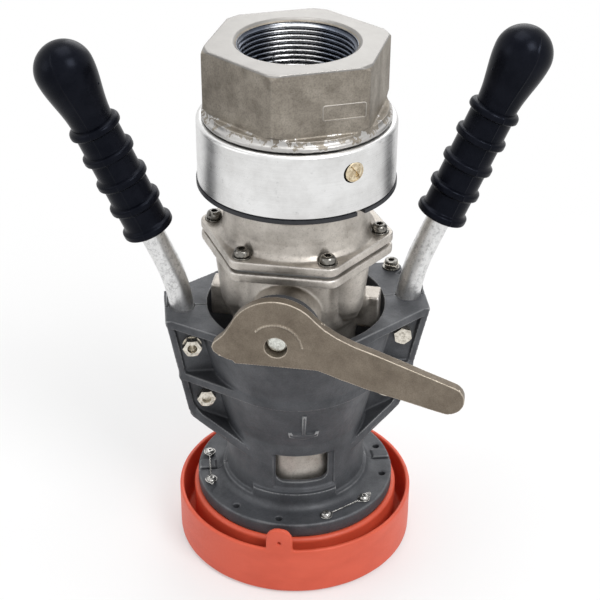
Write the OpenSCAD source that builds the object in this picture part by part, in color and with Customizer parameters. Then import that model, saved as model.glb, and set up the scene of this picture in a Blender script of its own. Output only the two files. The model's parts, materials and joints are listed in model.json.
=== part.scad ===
// Pressure refuelling nozzle with swivel inlet, clamped turning collar and dust cap.
// The valve body hangs from a ball-race swivel. A lever on its side turns a crank that
// lowers the poppet in the nose. The two-piece collar turns on the barrel of the body.
// Z is up, the origin lies on the main axis at the underside of the dust cap.

/* [Dust cap] */
// Outer radius of the skirt
cap_r = 81.4; // [76:0.1:90]
// Height of the skirt
cap_h = 36.4; // [30:0.1:40]
// Wall of the skirt
cap_wall = 3; // [2:0.1:4]
// Thickness of the cap floor
cap_floor = 3; // [2:0.1:5]
// Radial thickness of the inner wall that hugs the nose
cap_hug = 4.6; // [3:0.1:5]
// Width of the pull tab
tab_w = 17.7; // [14:0.1:24]
// Height of the pull tab above the rim
tab_h = 17.5; // [14:0.1:24]
// Radius of the hole in the pull tab
tab_hole_r = 1.3; // [0.8:0.1:3]
// Direction of the pull tab about the axis
tab_angle = -103.5; // [-115:0.5:-90]

/* [Nose of the collar] */
// Clear space between the cap floor and the nose
nose_gap = 13; // [12:0.1:16]
// Height of the skirt ring below the nose flange
nose_skirt_h = 22; // [20:0.1:24]
// Outer radius of the skirt ring
nose_r = 66; // [64:0.1:67.5]
// Wall of the skirt ring
nose_wall = 7; // [5:0.1:8]
// Radius of the nose flange
nose_flange_r = 68.05; // [67.8:0.05:70]
// Thickness of the nose flange
nose_flange_t = 9.8; // [8:0.1:12]
// Radius of the circle of nose screws
nose_bolt_r = 61.7; // [61:0.1:62.5]
// Radius of the holes in the nose flange
nose_hole_r = 1.7; // [1.5:0.1:2]
// Number of holes in the nose flange
nose_holes = 12; // [12:12:12]
// How far a bayonet lug reaches in from the skirt ring
lug_reach = 6; // [3:0.1:7]
// Height of a bayonet lug
lug_h = 6; // [4:0.1:8]

/* [Collar] */
// Outer radius of the collar barrel
barrel_r = 47.5; // [47:0.1:49]
// Height of the cylindrical barrel above the nose flange
barrel_h = 50.2; // [46:0.1:56]
// Outer radius of the bowl at the top
bowl_r = 64; // [62:0.1:66]
// Height of the taper from barrel to bowl
taper_h = 67; // [60:0.1:72]
// Height of the straight rim of the bowl
rim_h = 18; // [14:0.1:24]
// Radius of the round opening at the top
mouth_r = 58.5; // [58:0.1:59.5]
// Radial step of the foot round the barrel
plinth_step = 3; // [2:0.1:4]
// Height of the foot round the barrel
plinth_h = 12.5; // [10:0.1:14]
// Gap between the two halves of the collar
split_gap = 0.6; // [0.3:0.1:1.5]
// Step by which the rear half stands above the front half at its ends
rear_step = 1.6; // [0:0.1:3]
// Width of the sight window
window_w = 33; // [26:0.5:36]
// Height of the sight window
window_h = 22; // [16:0.5:24]
// Height of the window sill above the nose flange
window_z = 19.2; // [17:0.1:22]

/* [Wings] */
// Reach of a wing past the bowl at the deck
wing_reach = 22.5; // [20:0.1:28]
// Inward lean of the outer edge of a wing
wing_lean = 9.6; // [6:0.1:12]
// Depth of the wing web at the rods
web_t = 12.5; // [11.5:0.1:14]
// Depth of the wing web below the middle rib
web_low_t = 7; // [5:0.1:9]
// Depth of a wing from the split plane at the deck
wing_y = 20; // [18:0.1:24]
// Thickness of the deck and the ribs
rib_t = 6; // [4:0.1:8]
// Height of the wing from its lowest corner to the deck
wing_h = 83; // [78:0.1:90]

/* [Handles] */
// Radius of a handle rod
rod_r = 7.94; // [7:0.01:8.5]
// Distance from the bowl to the axis of a rod at the deck
rod_out = 11; // [9:0.1:13]
// Lean of a rod inside the collar
rod_lean = 8; // [6:0.1:10]
// Lean of a rod in its grip
grip_lean = 22.6; // [18:0.1:28]
// Radius of the bend in a rod
bend_r = 130; // [100:1:150]
// Depth of a rod inside the collar
rod_depth = 56; // [50:0.5:60]
// Length of the straight rod above the bend up to the grip
rod_free = 24; // [10:0.5:40]
// Length of a grip up to the centre of its bulb
grip_len = 118; // [100:0.5:130]
// Radius of a grip between its rings
grip_r = 14; // [12:0.1:15]
// Radius of a grip over its rings
ring_r = 16.5; // [15.5:0.1:18]
// Radius of the bulb at the end
bulb_r = 18.5; // [17:0.1:20]
// Pitch of the grip rings
ring_pitch = 18.8; // [17:0.1:20]
// Number of grip rings
ring_count = 5; // [3:1:5]

/* [Valve body] */
// Turn of the valve body about the axis, against the collar
body_turn = -15; // [-15:0.5:0]
// Outer radius of the inner barrel
core_r = 40; // [39:0.1:41]
// Bore radius of the inner barrel
core_bore_r = 35; // [33:0.1:36]
// Radius of the body neck below its flange
body_r = 42; // [41:0.1:46]
// Height of the lever axis above the deck
axis_h = 12.6; // [12:0.1:18]
// Height of the flange above the lever axis
flange_h = 29.4; // [26:0.1:32]
// Thickness of each flange plate
flange_t = 5.8; // [5:0.1:7]
// Thickness of the joint between the flange plates
gasket_t = 2.4; // [1:0.1:3]
// Radius of the circle of flange screws
flange_bolt_r = 53.5; // [53:0.1:55]
// Corner radius of the six-lobed flange
flange_corner_r = 8.6; // [8:0.1:10]
// Radius of the two round swellings beside the shaft
swell_r = 17; // [15:0.1:18]
// Distance from the axis to a swelling
swell_x = 36; // [34:0.1:36.5]

/* [Outlet casting and swivel] */
// Bore radius of the casting and the swivel tube
flow_r = 33; // [30:0.1:34]
// Outer radius of the casting
casting_r = 46.5; // [45:0.1:48]
// Height of the casting with its flange
casting_h = 39; // [34:0.1:44]
// Thickness of the split seal ring under the band
seal_t = 2.5; // [2:0.1:3]
// Outer radius of the race band
band_r = 62.3; // [61:0.1:64]
// Height of the race band
band_h = 41.2; // [38:0.1:44]
// Running radius between the band and the swivel tube
race_r = 50; // [49:0.1:51]
// Radius of a swivel ball
ball_r = 4; // [3:0.1:4.5]
// Number of balls in each of the two rows
ball_count = 30; // [20:1:32]

/* [Inlet] */
// Width of the inlet hexagon across flats
hex_af = 102.7; // [98:0.1:108]
// Height of the inlet hexagon
hex_h = 41.7; // [36:0.1:46]
// Turn of the hexagon about the axis
hex_turn = 9.45; // [0:0.05:60]
// Wall radius of the threaded inlet
thread_r = 36.5; // [35:0.1:38]
// Depth of the threaded inlet
thread_depth = 38; // [30:0.5:38]
// Height of the neck between the band and the hexagon
neck_h = 6; // [5:0.1:14]
// Radius of the neck
neck_r = 56.7; // [54:0.1:58]

/* [Lever and crank] */
// Distance from the main axis to the front of the lever
lever_y = 80; // [78:0.1:84]
// Thickness of the lever plate
lever_t = 6.5; // [5:0.1:8]
// Radius of the lever hub
hub_r = 30.4; // [28:0.1:32]
// Height of the flat under the hub below its centre
hub_low = 16; // [15.5:0.1:17]
// Height of the hub's centre above the shaft
hub_up = 2.2; // [0:0.1:3]
// Reach of the lever from shaft to the centre of its round end
arm_x = 106.3; // [95:0.1:120]
// Drop of the lever's round end below the hub's centre
arm_drop = 29.3; // [25:0.1:34]
// Radius of the lever's round end
arm_r = 10.2; // [9:0.1:12]
// Radius of the lever shaft
shaft_r = 6.35; // [5.5:0.05:7]
// Radial clearance of the running shafts
run_fit = 0.05; // [0.02:0.01:0.1]
// Radius of the crank
crank_r = 15.5; // [14:0.1:16]
// Radius of the crank roller
roller_r = 4.5; // [4:0.1:5]
// Lift of the crank above level when the valve is shut
crank_start = 45; // [45:1:45]
// Spare height of the slot on each side of the roller
slot_play = 0.8; // [0.6:0.1:1.2]

/* [Poppet] */
// Radius of the poppet head
poppet_r = 36.5; // [36:0.1:38]
// Thickness of the poppet head
poppet_t = 7; // [6:0.1:9]
// Radius of the poppet stem
stem_r = 5; // [4:0.1:6]

/* [Hidden] */
$fn = 96;

eps = 0.01;          // overlap of joined shapes
cut = 1;             // overrun of cutting shapes

// heights from the cap up
nose_z = cap_floor + nose_gap;
flange_low_z = nose_z + nose_skirt_h;
flange_top_z = flange_low_z + nose_flange_t;
taper_z = flange_top_z + barrel_h;
bowl_z = taper_z + taper_h;
deck_z = bowl_z + rim_h;
shaft_z = deck_z + axis_h;
body_flange_z = shaft_z + flange_h;
gasket_z = body_flange_z + flange_t;
casting_z = gasket_z + gasket_t;
casting_top_z = casting_z + casting_h;
band_z = casting_top_z + seal_t;
band_top_z = band_z + band_h;
hex_z = band_top_z + neck_h;
hex_top_z = hex_z + hex_h;

// collar interior
land_fit = 0.06;                     // radial clearance of the collar on its bearing
bearing_r = core_r + 2.6;            // running radius of the bearing
collar_in_r = bearing_r + land_fit;
thrust_r = bearing_r + 2.4;          // radius of the thrust rim on the bearing
thrust_t = 6;
bearing_h = 24;
bearing_z = taper_z - 2;
thrust_z = bearing_z + bearing_h - thrust_t;
cap_hug_in = nose_r + 0.5;           // inner radius of the hugging wall

// wing outline, from the deck down
wing_x = bowl_r + wing_reach;        // distance from the axis to the tip at the deck
rod_x = bowl_r + rod_out;            // distance from the axis to a rod at the deck
wing_low_x = wing_x - wing_h * tan(wing_lean);
wing_low_z = deck_z - wing_h;
mid_rib_z = deck_z - 44;             // top of the middle rib
mid_r = taper_r(mid_rib_z);
wing_root_z = wing_low_z - 19;       // where the lower edge meets the barrel
wing_rim_t = 4.5;                    // width of the outer rim of a wing

// flange screws
screw_hole_r = 2.7;
washer_r = 6.2;
washer_t = 0.8;

// wing bolts: height below the deck, distance from the axis, depth of the seat
bolt_hole_r = 3.4;
bolt_r = 3.175;
bolt_head_r = 6.4;
bolt_head_h = 4.2;
upper_bolt = [bowl_r + 5.8, deck_z - 22.8, web_t];
lower_bolt_z = deck_z - 68;
// halfway between the taper and the outer rim
lower_bolt_x = (taper_r(lower_bolt_z) + wing_edge(lower_bolt_z) - wing_rim_t) / 2 + 0.1073;
lower_bolt = [lower_bolt_x, lower_bolt_z, web_low_t];

// deck screw and the ear under it
deck_screw_at = [rod_x - 5.5, 36.5];
ear_r = 7.5;

// lever shaft and gland
gland_r = 26;
gland_y = lever_y - 14;              // front face of the gland
gland_t = 7;
boss_r = 22;                         // body boss behind the gland
shaft_end_y = lever_y - 4.8;         // recessed outer end of the shaft
shaft_end_r = 5.2;                   // radius of the stub inside the lever plate
shaft_in_y = 10;                     // inner end of the shaft
bush_r = shaft_r + 3;
bowl_low_z = shaft_z - 22;           // where the body widens to its neck below the shaft
lug_x = 55.5;                        // reach of the side lugs
crank_t = 6;
crank_x = -crank_r * cos(crank_start);
crank_up = crank_r * sin(crank_start);
yoke_front_y = shaft_in_y - 1.5;
yoke_back_y = stem_r * 0.6;

// poppet and nose of the body
core_nose_z = nose_z + 15;           // lower end of the body barrel
seat_z = core_nose_z + 5;
poppet_z = core_nose_z + 1;

// handles: straight rod between the deck and the bend
bend_start = 4;

// swivel rows and ball plug
ball_row_low = band_z + 13;
ball_row_high = band_z + 27;
groove_r = ball_r + 0.1;
tube_low_z = band_z + 4.2;           // lower end of the swivel tube
plug_r = 6.4;
plug_angle = -49;

// angles of the nose screws and of the open holes
hole_angle = -76.2;
hole_step = 360 / nose_holes;

bronze = [0.52, 0.46, 0.38];
cast_silver = [0.66, 0.64, 0.61];
brushed = [0.80, 0.80, 0.79];
dark_grey = [0.27, 0.28, 0.29];
steel = [0.75, 0.74, 0.70];
black = [0.08, 0.08, 0.10];
cap_red = [0.85, 0.26, 0.18];
brass = [0.78, 0.64, 0.36];

// ---- helpers ----

// ring of rectangular section
module tube(r_out, r_in, z, h) {
  translate([0, 0, z]) difference() {
    cylinder(r = r_out, h = h);
    translate([0, 0, -cut]) cylinder(r = r_in, h = h + 2 * cut);
  }
}

// everything that belongs to the valve body is turned about the axis
module body_frame() {
  rotate([0, 0, body_turn]) children();
}

// cylinder along -Y at the height of the lever shaft
module shaft_cyl(r, y_front, y_back) {
  translate([0, -y_back, shaft_z]) rotate([90, 0, 0]) cylinder(r = r, h = y_front - y_back);
}

// half space in front of (side = -1) or behind (side = 1) the split plane
module half_space(side) {
  big = 2 * wing_x + 40;
  translate([-big / 2, side > 0 ? split_gap / 2 : -big - split_gap / 2, -cut])
    cube([big, big, deck_z + 40]);
}

// direction of the outer tangent from a circle of radius big at the axis to a small one at p
function tangent_dir(big, small, p) =
  atan2(p[1], p[0]) - acos((big - small) / norm(p));

// planform of a rib: a disc drawn out to a small circle at the wing tip, front quarter
module rib_plan(big, tip, tip_r) {
  a = tangent_dir(big, tip_r, tip);
  n = [cos(a), sin(a)];
  circle(r = big);
  translate(tip) circle(r = tip_r);
  polygon([[0, 0], big * n, tip + tip_r * n, tip + [tip_r, 0], [tip[0] + tip_r, 1], [0, 1]]);
}

// six-lobed flange outline
module flange_plan() {
  reach = flange_corner_r - 0.2;     // the flats lie a hair inside the round corners
  polygon([for (k = [0:5], s = [-30, 30])
    flange_bolt_r * [cos(60 * k), sin(60 * k)] + reach * [cos(60 * k + s), sin(60 * k + s)]]);
  for (k = [0:5]) rotate(60 * k) translate([flange_bolt_r, 0]) circle(r = flange_corner_r);
}

// ---- inlet ----

module inlet_hex() {
  corner = hex_af / 2 / cos(30);
  chamfer = 1.8;
  color(cast_silver) rotate([0, 0, hex_turn]) difference() {
    union() {
      // hexagon with turned corners
      intersection() {
        translate([0, 0, hex_z]) cylinder(r = corner, h = hex_h, $fn = 6);
        rotate_extrude() polygon([
          [0, hex_z], [corner - 5, hex_z], [corner, hex_z + 4],
          [corner, hex_top_z - chamfer - 1], [corner - chamfer - 1, hex_top_z], [0, hex_top_z]
        ]);
      }
      // neck, lip and swivel tube
      rotate_extrude() polygon([
        [thread_r - 1, hex_z + 1], [neck_r, hex_z + 1], [neck_r, band_top_z + 4.6],
        [neck_r + 2.2, band_top_z + 3.2], [neck_r + 2.2, band_top_z + 0.9],
        [race_r - run_fit, band_top_z + 0.9], [race_r - run_fit, tube_low_z],
        [thread_r - 1, tube_low_z]
      ]);
    }
    translate([0, 0, hex_top_z - thread_depth]) cylinder(r = thread_r, h = thread_depth + cut);
    translate([0, 0, hex_top_z - 2.2]) cylinder(r1 = thread_r, r2 = thread_r + 2.4, h = 2.2 + eps);
    translate([0, 0, tube_low_z - cut]) cylinder(r = flow_r, h = hex_top_z);
    for (z = [ball_row_low, ball_row_high])
      translate([0, 0, z]) rotate_extrude() translate([race_r, 0]) circle(r = groove_r);
  }
}

module swivel_balls() {
  color(steel) for (row = [0, 1], k = [0:ball_count - 1])
    rotate([0, 0, (k + row / 2) * 360 / ball_count])
      translate([race_r, 0, row == 0 ? ball_row_low : ball_row_high]) sphere(r = ball_r, $fn = 32);
}

module swivel_seal() {
  color(black) tube(race_r - 5, race_r - 9, casting_top_z + seal_t + 0.8, tube_low_z - casting_top_z - seal_t - 1.1);
}

// ---- swivel band and outlet casting ----

module race_band() {
  round_top = 2.5;
  color(brushed) body_frame() difference() {
    rotate_extrude() {
      polygon([
        [race_r, band_z], [band_r - 0.8, band_z], [band_r, band_z + 0.8],
        [band_r, band_top_z - round_top], [band_r - round_top, band_top_z], [race_r, band_top_z]
      ]);
      translate([band_r - round_top, band_top_z - round_top]) circle(r = round_top);
    }
    for (z = [ball_row_low, ball_row_high])
      translate([0, 0, z]) rotate_extrude() translate([race_r, 0]) circle(r = groove_r);
    plug_place() translate([0, 0, -20]) cylinder(r = plug_r, h = 40);
  }
}

module plug_place() {
  rotate([0, 0, plug_angle]) translate([band_r, 0, ball_row_high]) rotate([0, 90, 0]) children();
}

module race_plug() {
  seat = sqrt(band_r * band_r - plug_r * plug_r);
  color(brass) body_frame() plug_place() difference() {
    translate([0, 0, race_r + groove_r + 0.6 - band_r])
      cylinder(r = plug_r - 0.02, h = seat - race_r - groove_r - 0.6 + 0.9);
    translate([0, 0, seat - band_r - 0.2]) cylinder(r = 3.2, h = 3);
  }
}

module dust_seal() {
  gap_angle = -43;
  color(black) body_frame() difference() {
    tube(band_r + 0.7, race_r + 2, casting_top_z, seal_t);
    rotate([0, 0, gap_angle]) translate([band_r - 8, -3, casting_top_z - cut]) cube([12, 6, seal_t + 2 * cut]);
  }
}

module outlet_casting() {
  color(cast_silver) body_frame() difference() {
    union() {
      translate([0, 0, casting_z]) linear_extrude(flange_t) flange_plan();
      rotate_extrude() polygon([
        [flow_r, casting_z], [casting_r + 5, casting_z], [casting_r + 4.2, casting_z + flange_t],
        [casting_r + 1.4, casting_z + flange_t + 3], [casting_r, casting_z + flange_t + 9],
        [casting_r, casting_top_z - 9], [casting_r + 2.5, casting_top_z - 5],
        [race_r + 6, casting_top_z - 2.5], [race_r + 6, casting_top_z],
        [race_r - 0.1, casting_top_z], [race_r - 0.1, casting_top_z + seal_t + 3.6],
        [flow_r, casting_top_z + seal_t + 3.6]
      ]);
      // shallow webs that run down to the flange corners
      for (k = [0:5]) rotate([0, 0, 60 * k])
        translate([casting_r - 3, -4, casting_z + flange_t - eps]) cube([5.5, 8, 3.5]);
    }
    translate([0, 0, casting_z - cut]) cylinder(r = flow_r, h = casting_top_z);
    screw_circle() translate([0, 0, casting_z - cut]) cylinder(r = screw_hole_r, h = flange_t + 2 * cut);
    // spot faces for the washers
    screw_circle() translate([0, 0, casting_z + flange_t]) cylinder(r = washer_r + 0.4, h = 8);
    // groove for the seal ring of the swivel
    translate([0, 0, casting_top_z + seal_t]) difference() {
      cylinder(r = race_r - 4.8, h = 10);
      translate([0, 0, -cut]) cylinder(r = race_r - 9.2, h = 12);
    }
  }
}

module screw_circle() {
  for (k = [0:5]) rotate([0, 0, 60 * k]) translate([flange_bolt_r, 0, 0]) children();
}

module flange_screws() {
  head_h = 4.6;
  color(steel) body_frame() screw_circle() {
    translate([0, 0, casting_z + flange_t]) cylinder(r = washer_r, h = washer_t);
    difference() {
      union() {
        translate([0, 0, casting_z + flange_t + washer_t]) cylinder(r = 4.6, h = head_h);
        translate([0, 0, body_flange_z - 0.5]) cylinder(r = screw_hole_r - 0.1, h = casting_z + flange_t + 1.3 - body_flange_z);
      }
      translate([0, 0, casting_z + flange_t + washer_t + head_h - 2]) cylinder(r = 2.3, h = 3, $fn = 6);
    }
  }
}

module flange_gasket() {
  color(dark_grey) body_frame() translate([0, 0, gasket_z]) difference() {
    linear_extrude(gasket_t) scale(0.94) flange_plan();
    translate([0, 0, -cut]) cylinder(r = flow_r, h = gasket_t + 2 * cut);
    screw_circle() translate([0, 0, -cut]) cylinder(r = screw_hole_r, h = gasket_t + 2 * cut);
  }
}

// ---- valve body ----

module valve_body() {
  color(cast_silver) body_frame() difference() {
    union() {
      // barrel, neck and flange root
      rotate_extrude() polygon([
        [0, core_nose_z], [core_r + 6, core_nose_z], [core_r + 6, core_nose_z + 8],
        [core_r, core_nose_z + 12], [core_r, bowl_low_z - 12], [body_r, bowl_low_z],
        [body_r, body_flange_z - 6], [body_r + 2.5, body_flange_z - 1], [body_r + 2.5, body_flange_z + 1],
        [0, body_flange_z + 1]
      ]);
      translate([0, 0, body_flange_z]) linear_extrude(flange_t) flange_plan();
      // boss of the lever shaft
      shaft_cyl(boss_r, gland_y - gland_t, 10);
      // round swellings on both sides of the boss
      for (s = [-1, 1]) rotate([0, 0, s * 63]) translate([0, -swell_x, 0]) {
        translate([0, 0, shaft_z - 6]) cylinder(r = swell_r, h = body_flange_z - shaft_z + 7);
        translate([0, 0, shaft_z - 6]) difference() {
          sphere(r = swell_r, $fn = 64);
          translate([-20, -20, -40 - swell_r * 0.55]) cube(40);
        }
      }
      // side lugs
      for (m = [0, 1]) mirror([m, 0, 0])
        translate([body_r - 4, -8, shaft_z - 24]) cube([lug_x - body_r + 4, 16, 22]);
    }
    body_cavity();
    collar_clearance();
    shaft_cyl(bush_r, 90, 10);
    shaft_cyl(18, gland_y - gland_t + 1, gland_y - gland_t - 4);
    screw_circle() translate([0, 0, body_flange_z - cut]) cylinder(r = screw_hole_r, h = flange_t + 2 * cut);
  }
}

module body_cavity() {
  rotate_extrude() polygon([
    [0, core_nose_z - cut], [core_bore_r + 3, core_nose_z - cut], [core_bore_r + 3, core_nose_z + 9],
    [core_bore_r, seat_z + 8], [core_bore_r, bowl_low_z], [body_r - 6, bowl_low_z + 4], [body_r - 6, body_flange_z - 8],
    [flow_r, body_flange_z + 1], [flow_r, gasket_z + cut], [0, gasket_z + cut]
  ]);
}

module shaft_gland() {
  color(dark_grey) body_frame() difference() {
    union() {
      shaft_cyl(gland_r, gland_y, gland_y - gland_t);
      shaft_cyl(17.9, gland_y - gland_t + 1, gland_y - gland_t - 3.6);
    }
    shaft_cyl(shaft_r + run_fit, gland_y + cut, gland_y - gland_t - 10);
    shaft_cyl(shaft_r + 2.6, gland_y - 3, gland_y - 6);
    collar_clearance();
  }
}

// room for the rim of the collar, which turns below the gland and the shaft boss
module collar_clearance() {
  tube(2 * bowl_r, mouth_r - 0.8, 0, deck_z + 0.6);
}

module shaft_bush() {
  color(bronze) body_frame() difference() {
    shaft_cyl(bush_r, gland_y - gland_t - 4, 27);
    shaft_cyl(shaft_r + run_fit, 90, 10);
    for (y = [34, 46]) shaft_cyl(shaft_r + 2, y + 1.6, y - 1.6);
  }
}

module shaft_packing() {
  color(black) body_frame() {
    for (y = [34, 46]) difference() {
      shaft_cyl(shaft_r + 1.95, y + 1.5, y - 1.5);
      shaft_cyl(shaft_r + run_fit, y + 3, y - 3);
    }
    difference() {
      shaft_cyl(shaft_r + 2.55, gland_y - 3.1, gland_y - 5.9);
      shaft_cyl(shaft_r + run_fit, gland_y, gland_y - 10);
    }
  }
}

module collar_bearing() {
  color(bronze) body_frame() difference() {
    union() {
      tube(bearing_r, core_r, bearing_z, bearing_h);
      tube(thrust_r, core_r, thrust_z, thrust_t - 0.12);
    }
    translate([0, 0, bearing_z - cut]) cylinder(r = core_r, h = 2 * bearing_h);
  }
}

module poppet_guide() {
  guide_z = seat_z + 40;
  hub = stem_r + 5;
  color(cast_silver) body_frame() difference() {
    union() {
      tube(core_bore_r, core_bore_r - 3, guide_z, 12);
      translate([0, 0, guide_z - 10]) cylinder(r = hub, h = 32);
      for (a = [30, 150, 270]) rotate([0, 0, a])
        translate([hub - 2, -2.5, guide_z]) cube([core_bore_r - hub, 5, 12]);
    }
    translate([0, 0, guide_z - 20]) cylinder(r = stem_r + run_fit, h = 60);
  }
}

module nose_seal() {
  color(black) body_frame() rotate_extrude() polygon([
    [core_r - 1, core_nose_z], [core_r + 5, core_nose_z], [core_r + 5, core_nose_z - 2.5],
    [core_r + 3, core_nose_z - 4.5], [core_r - 1, core_nose_z - 2]
  ]);
}

// ---- lever and crank ----

// outline of the lever plate, centre of the hub at the origin, X towards the end of the arm
module lever_plan() {
  tip = [arm_x, -arm_drop];
  dir = tip / norm(tip);
  side = [-dir[1], dir[0]];
  difference() {
    circle(r = hub_r);
    translate([-2 * hub_r, -3 * hub_r]) square([4 * hub_r, 3 * hub_r - hub_low]);
  }
  // shoulder that sweeps from the hub into the arm
  polygon([
    hub_r * [cos(52), sin(52)], hub_r * [0.783, 0.625], hub_r * [0.987, 0.441], hub_r * [1.25, 0.276],
    hub_r * [1.579, 0.118], hub_r * [1.974, -0.02], tip + arm_r * side, tip - arm_r * side,
    [56, -26.4], [40, -21.2], [32.5, -18.4], [26.5, -16.4], [20, -15.4], [13, -15.5], [6, -hub_low], [0, 0]
  ]);
  translate(tip) circle(r = arm_r);
  // short tail opposite the arm
  polygon([
    [0, -hub_low], [-14, -15.8], [-23, -15.1], [-30.5, -13.4], [-35.6, -11.3], [-39, -8.7],
    [-40.2, -5.6], [-39.2, -2.6], [-36, 0.6], [-33, 3.6], [-30.6, 7.4], [-27.8, 12], [0, 0]
  ]);
}

module flow_lever() {
  rib_rad = 16.5;
  plate_hole_r = 7;
  color(bronze) body_frame() difference() {
    union() {
      translate([0, -lever_y + lever_t, shaft_z + hub_up]) rotate([90, 0, 0]) linear_extrude(lever_t) lever_plan();
      shaft_cyl(14.5, lever_y - 1, gland_y + 0.4);
      // raised arc round the shaft
      translate([0, -lever_y + eps, shaft_z]) rotate([90, 0, 0])
        rotate([0, 0, 5]) rotate_extrude(angle = 135) translate([rib_rad - 0.7, 0]) square([1.4, 0.8]);
    }
    shaft_cyl(shaft_r + 0.03, lever_y, 10);
    shaft_cyl(plate_hole_r, lever_y + 5, lever_y - lever_t);
    // cross hole of the pin through hub boss and shaft
    translate([0, -gland_y - 4, shaft_z - 40]) cylinder(r = 1.6, h = 80);
  }
}

module lever_shaft() {
  color(steel) body_frame() difference() {
    union() {
      shaft_cyl(shaft_r, lever_y - lever_t, shaft_in_y);
      shaft_cyl(shaft_end_r, shaft_end_y, shaft_in_y);
    }
    translate([0, -gland_y - 4, shaft_z - 40]) cylinder(r = 1.6, h = 80);
  }
}

module lever_pin() {
  color(steel) body_frame() translate([0, -gland_y - 4, shaft_z - 13]) cylinder(r = 1.58, h = 26);
}

module crank_arm() {
  dir = [cos(180 - crank_start), sin(180 - crank_start)];
  side = 4.2 * [-dir[1], dir[0]];
  color(steel) body_frame() {
    translate([0, -shaft_in_y, shaft_z]) rotate([90, 0, 0]) linear_extrude(crank_t) difference() {
      union() {
        circle(r = shaft_r + 4);
        translate(crank_r * dir) circle(r = 5);
        polygon([(shaft_r + 1.5) * dir - side, crank_r * dir - side, crank_r * dir + side, (shaft_r + 1.5) * dir + side]);
      }
      circle(r = shaft_r);
    }
    translate([crank_x, 0, crank_up]) shaft_cyl(2.5, shaft_in_y + 1, yoke_back_y - 0.5);
  }
}

module crank_roller() {
  color(bronze) body_frame() translate([crank_x, 0, crank_up]) difference() {
    shaft_cyl(roller_r, yoke_front_y, yoke_back_y);
    shaft_cyl(2.5 + run_fit, yoke_front_y + cut, yoke_back_y - cut);
  }
}

// ---- poppet ----

module poppet_yoke() {
  slot_h = 2 * (roller_r + slot_play);
  slot_low = shaft_z + crank_up - slot_h / 2;
  slot_in_x = crank_x + roller_r + 1.2;
  slot_out_x = -crank_r - roller_r - 1.2;
  arm = 4;
  depth = yoke_front_y - 0.3 - yoke_back_y - 0.3;
  color(steel) body_frame() difference() {
    union() {
      translate([slot_out_x - arm, -yoke_front_y + 0.3, slot_low - arm])
        cube([slot_in_x - slot_out_x + 2 * arm, depth, slot_h + 2 * arm]);
      translate([0, 0, slot_low - arm]) cylinder(r = stem_r + 3, h = slot_h + 2 * arm);
    }
    translate([slot_out_x, -yoke_front_y - cut, slot_low])
      cube([slot_in_x - slot_out_x, yoke_front_y + 20, slot_h]);
    translate([0, 0, slot_low - 20]) cylinder(r = stem_r, h = 60);
    // flat that keeps the hub clear of the crank and the shaft end
    translate([-20, -shaft_in_y - 20 + 0.8, slot_low - 20]) cube([60, 20, 80]);
  }
}

module poppet_stem() {
  top = shaft_z + crank_up + roller_r + slot_play + 4;
  color(steel) body_frame() translate([0, 0, poppet_z + poppet_t - 1]) cylinder(r = stem_r, h = top - poppet_z - poppet_t + 1);
}

module poppet_head() {
  color(cast_silver) body_frame() difference() {
    rotate_extrude() polygon([
      [0, poppet_z], [poppet_r - 1, poppet_z], [poppet_r, poppet_z + 1],
      [poppet_r, poppet_z + 3], [poppet_r - 2.6, poppet_z + 3], [poppet_r - 2.6, poppet_z + 5.4],
      [poppet_r - 1, poppet_z + 5.4], [poppet_r - 3, poppet_z + poppet_t],
      [stem_r + 8, poppet_z + poppet_t], [stem_r + 3.5, poppet_z + poppet_t + 12], [0, poppet_z + poppet_t + 12]
    ]);
    translate([0, 0, poppet_z + poppet_t - 1]) cylinder(r = stem_r, h = 40);
  }
}

module poppet_seal() {
  color(black) body_frame() difference() {
    translate([0, 0, poppet_z + 3.1]) cylinder(r = poppet_r + 0.9, h = 2.2);
    translate([0, 0, poppet_z]) cylinder(r = poppet_r - 2.5, h = 10);
  }
}

// ---- collar ----

// one half of the collar; side = -1 is the front half
module collar_half(side) {
  difference() {
    intersection() {
      union() {
        collar_shell();
        for (m = [0, 1]) mirror([m, 0, 0]) {
          scale_y(side) wing();
        }
      }
      half_space(side);
    }
    collar_bore();
    for (m = [0, 1]) mirror([m, 0, 0]) {
      rod_hole();
      bolt_place(upper_bolt) cylinder(r = bolt_hole_r, h = 80, center = true);
      bolt_place(lower_bolt) cylinder(r = bolt_hole_r, h = 80, center = true);
    }
    nose_hole_places() translate([0, 0, flange_low_z - cut]) cylinder(r = nose_hole_r, h = nose_flange_t + 2 * cut);
  }
}

module scale_y(side) {
  if (side < 0) children();
  else mirror([0, 1, 0]) children();
}

module collar_shell() {
  fillet = 5;
  rotate_extrude() polygon([
    [collar_in_r - 1, flange_low_z], [nose_flange_r - 0.8, flange_low_z], [nose_flange_r, flange_low_z + 0.8],
    [nose_flange_r, flange_top_z - 0.8], [nose_flange_r - 0.8, flange_top_z],
    [barrel_r + plinth_step + fillet, flange_top_z],
    [barrel_r + plinth_step + fillet * 0.3, flange_top_z + fillet * 0.3],
    [barrel_r + plinth_step, flange_top_z + fillet],
    [barrel_r + plinth_step, flange_top_z + plinth_h - 1], [barrel_r + plinth_step - 1, flange_top_z + plinth_h],
    [barrel_r, flange_top_z + plinth_h], [barrel_r, taper_z], [bowl_r - 1.5, bowl_z - 3], [bowl_r, bowl_z + 4],
    [bowl_r, deck_z], [collar_in_r - 1, deck_z]
  ]);
}

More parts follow.
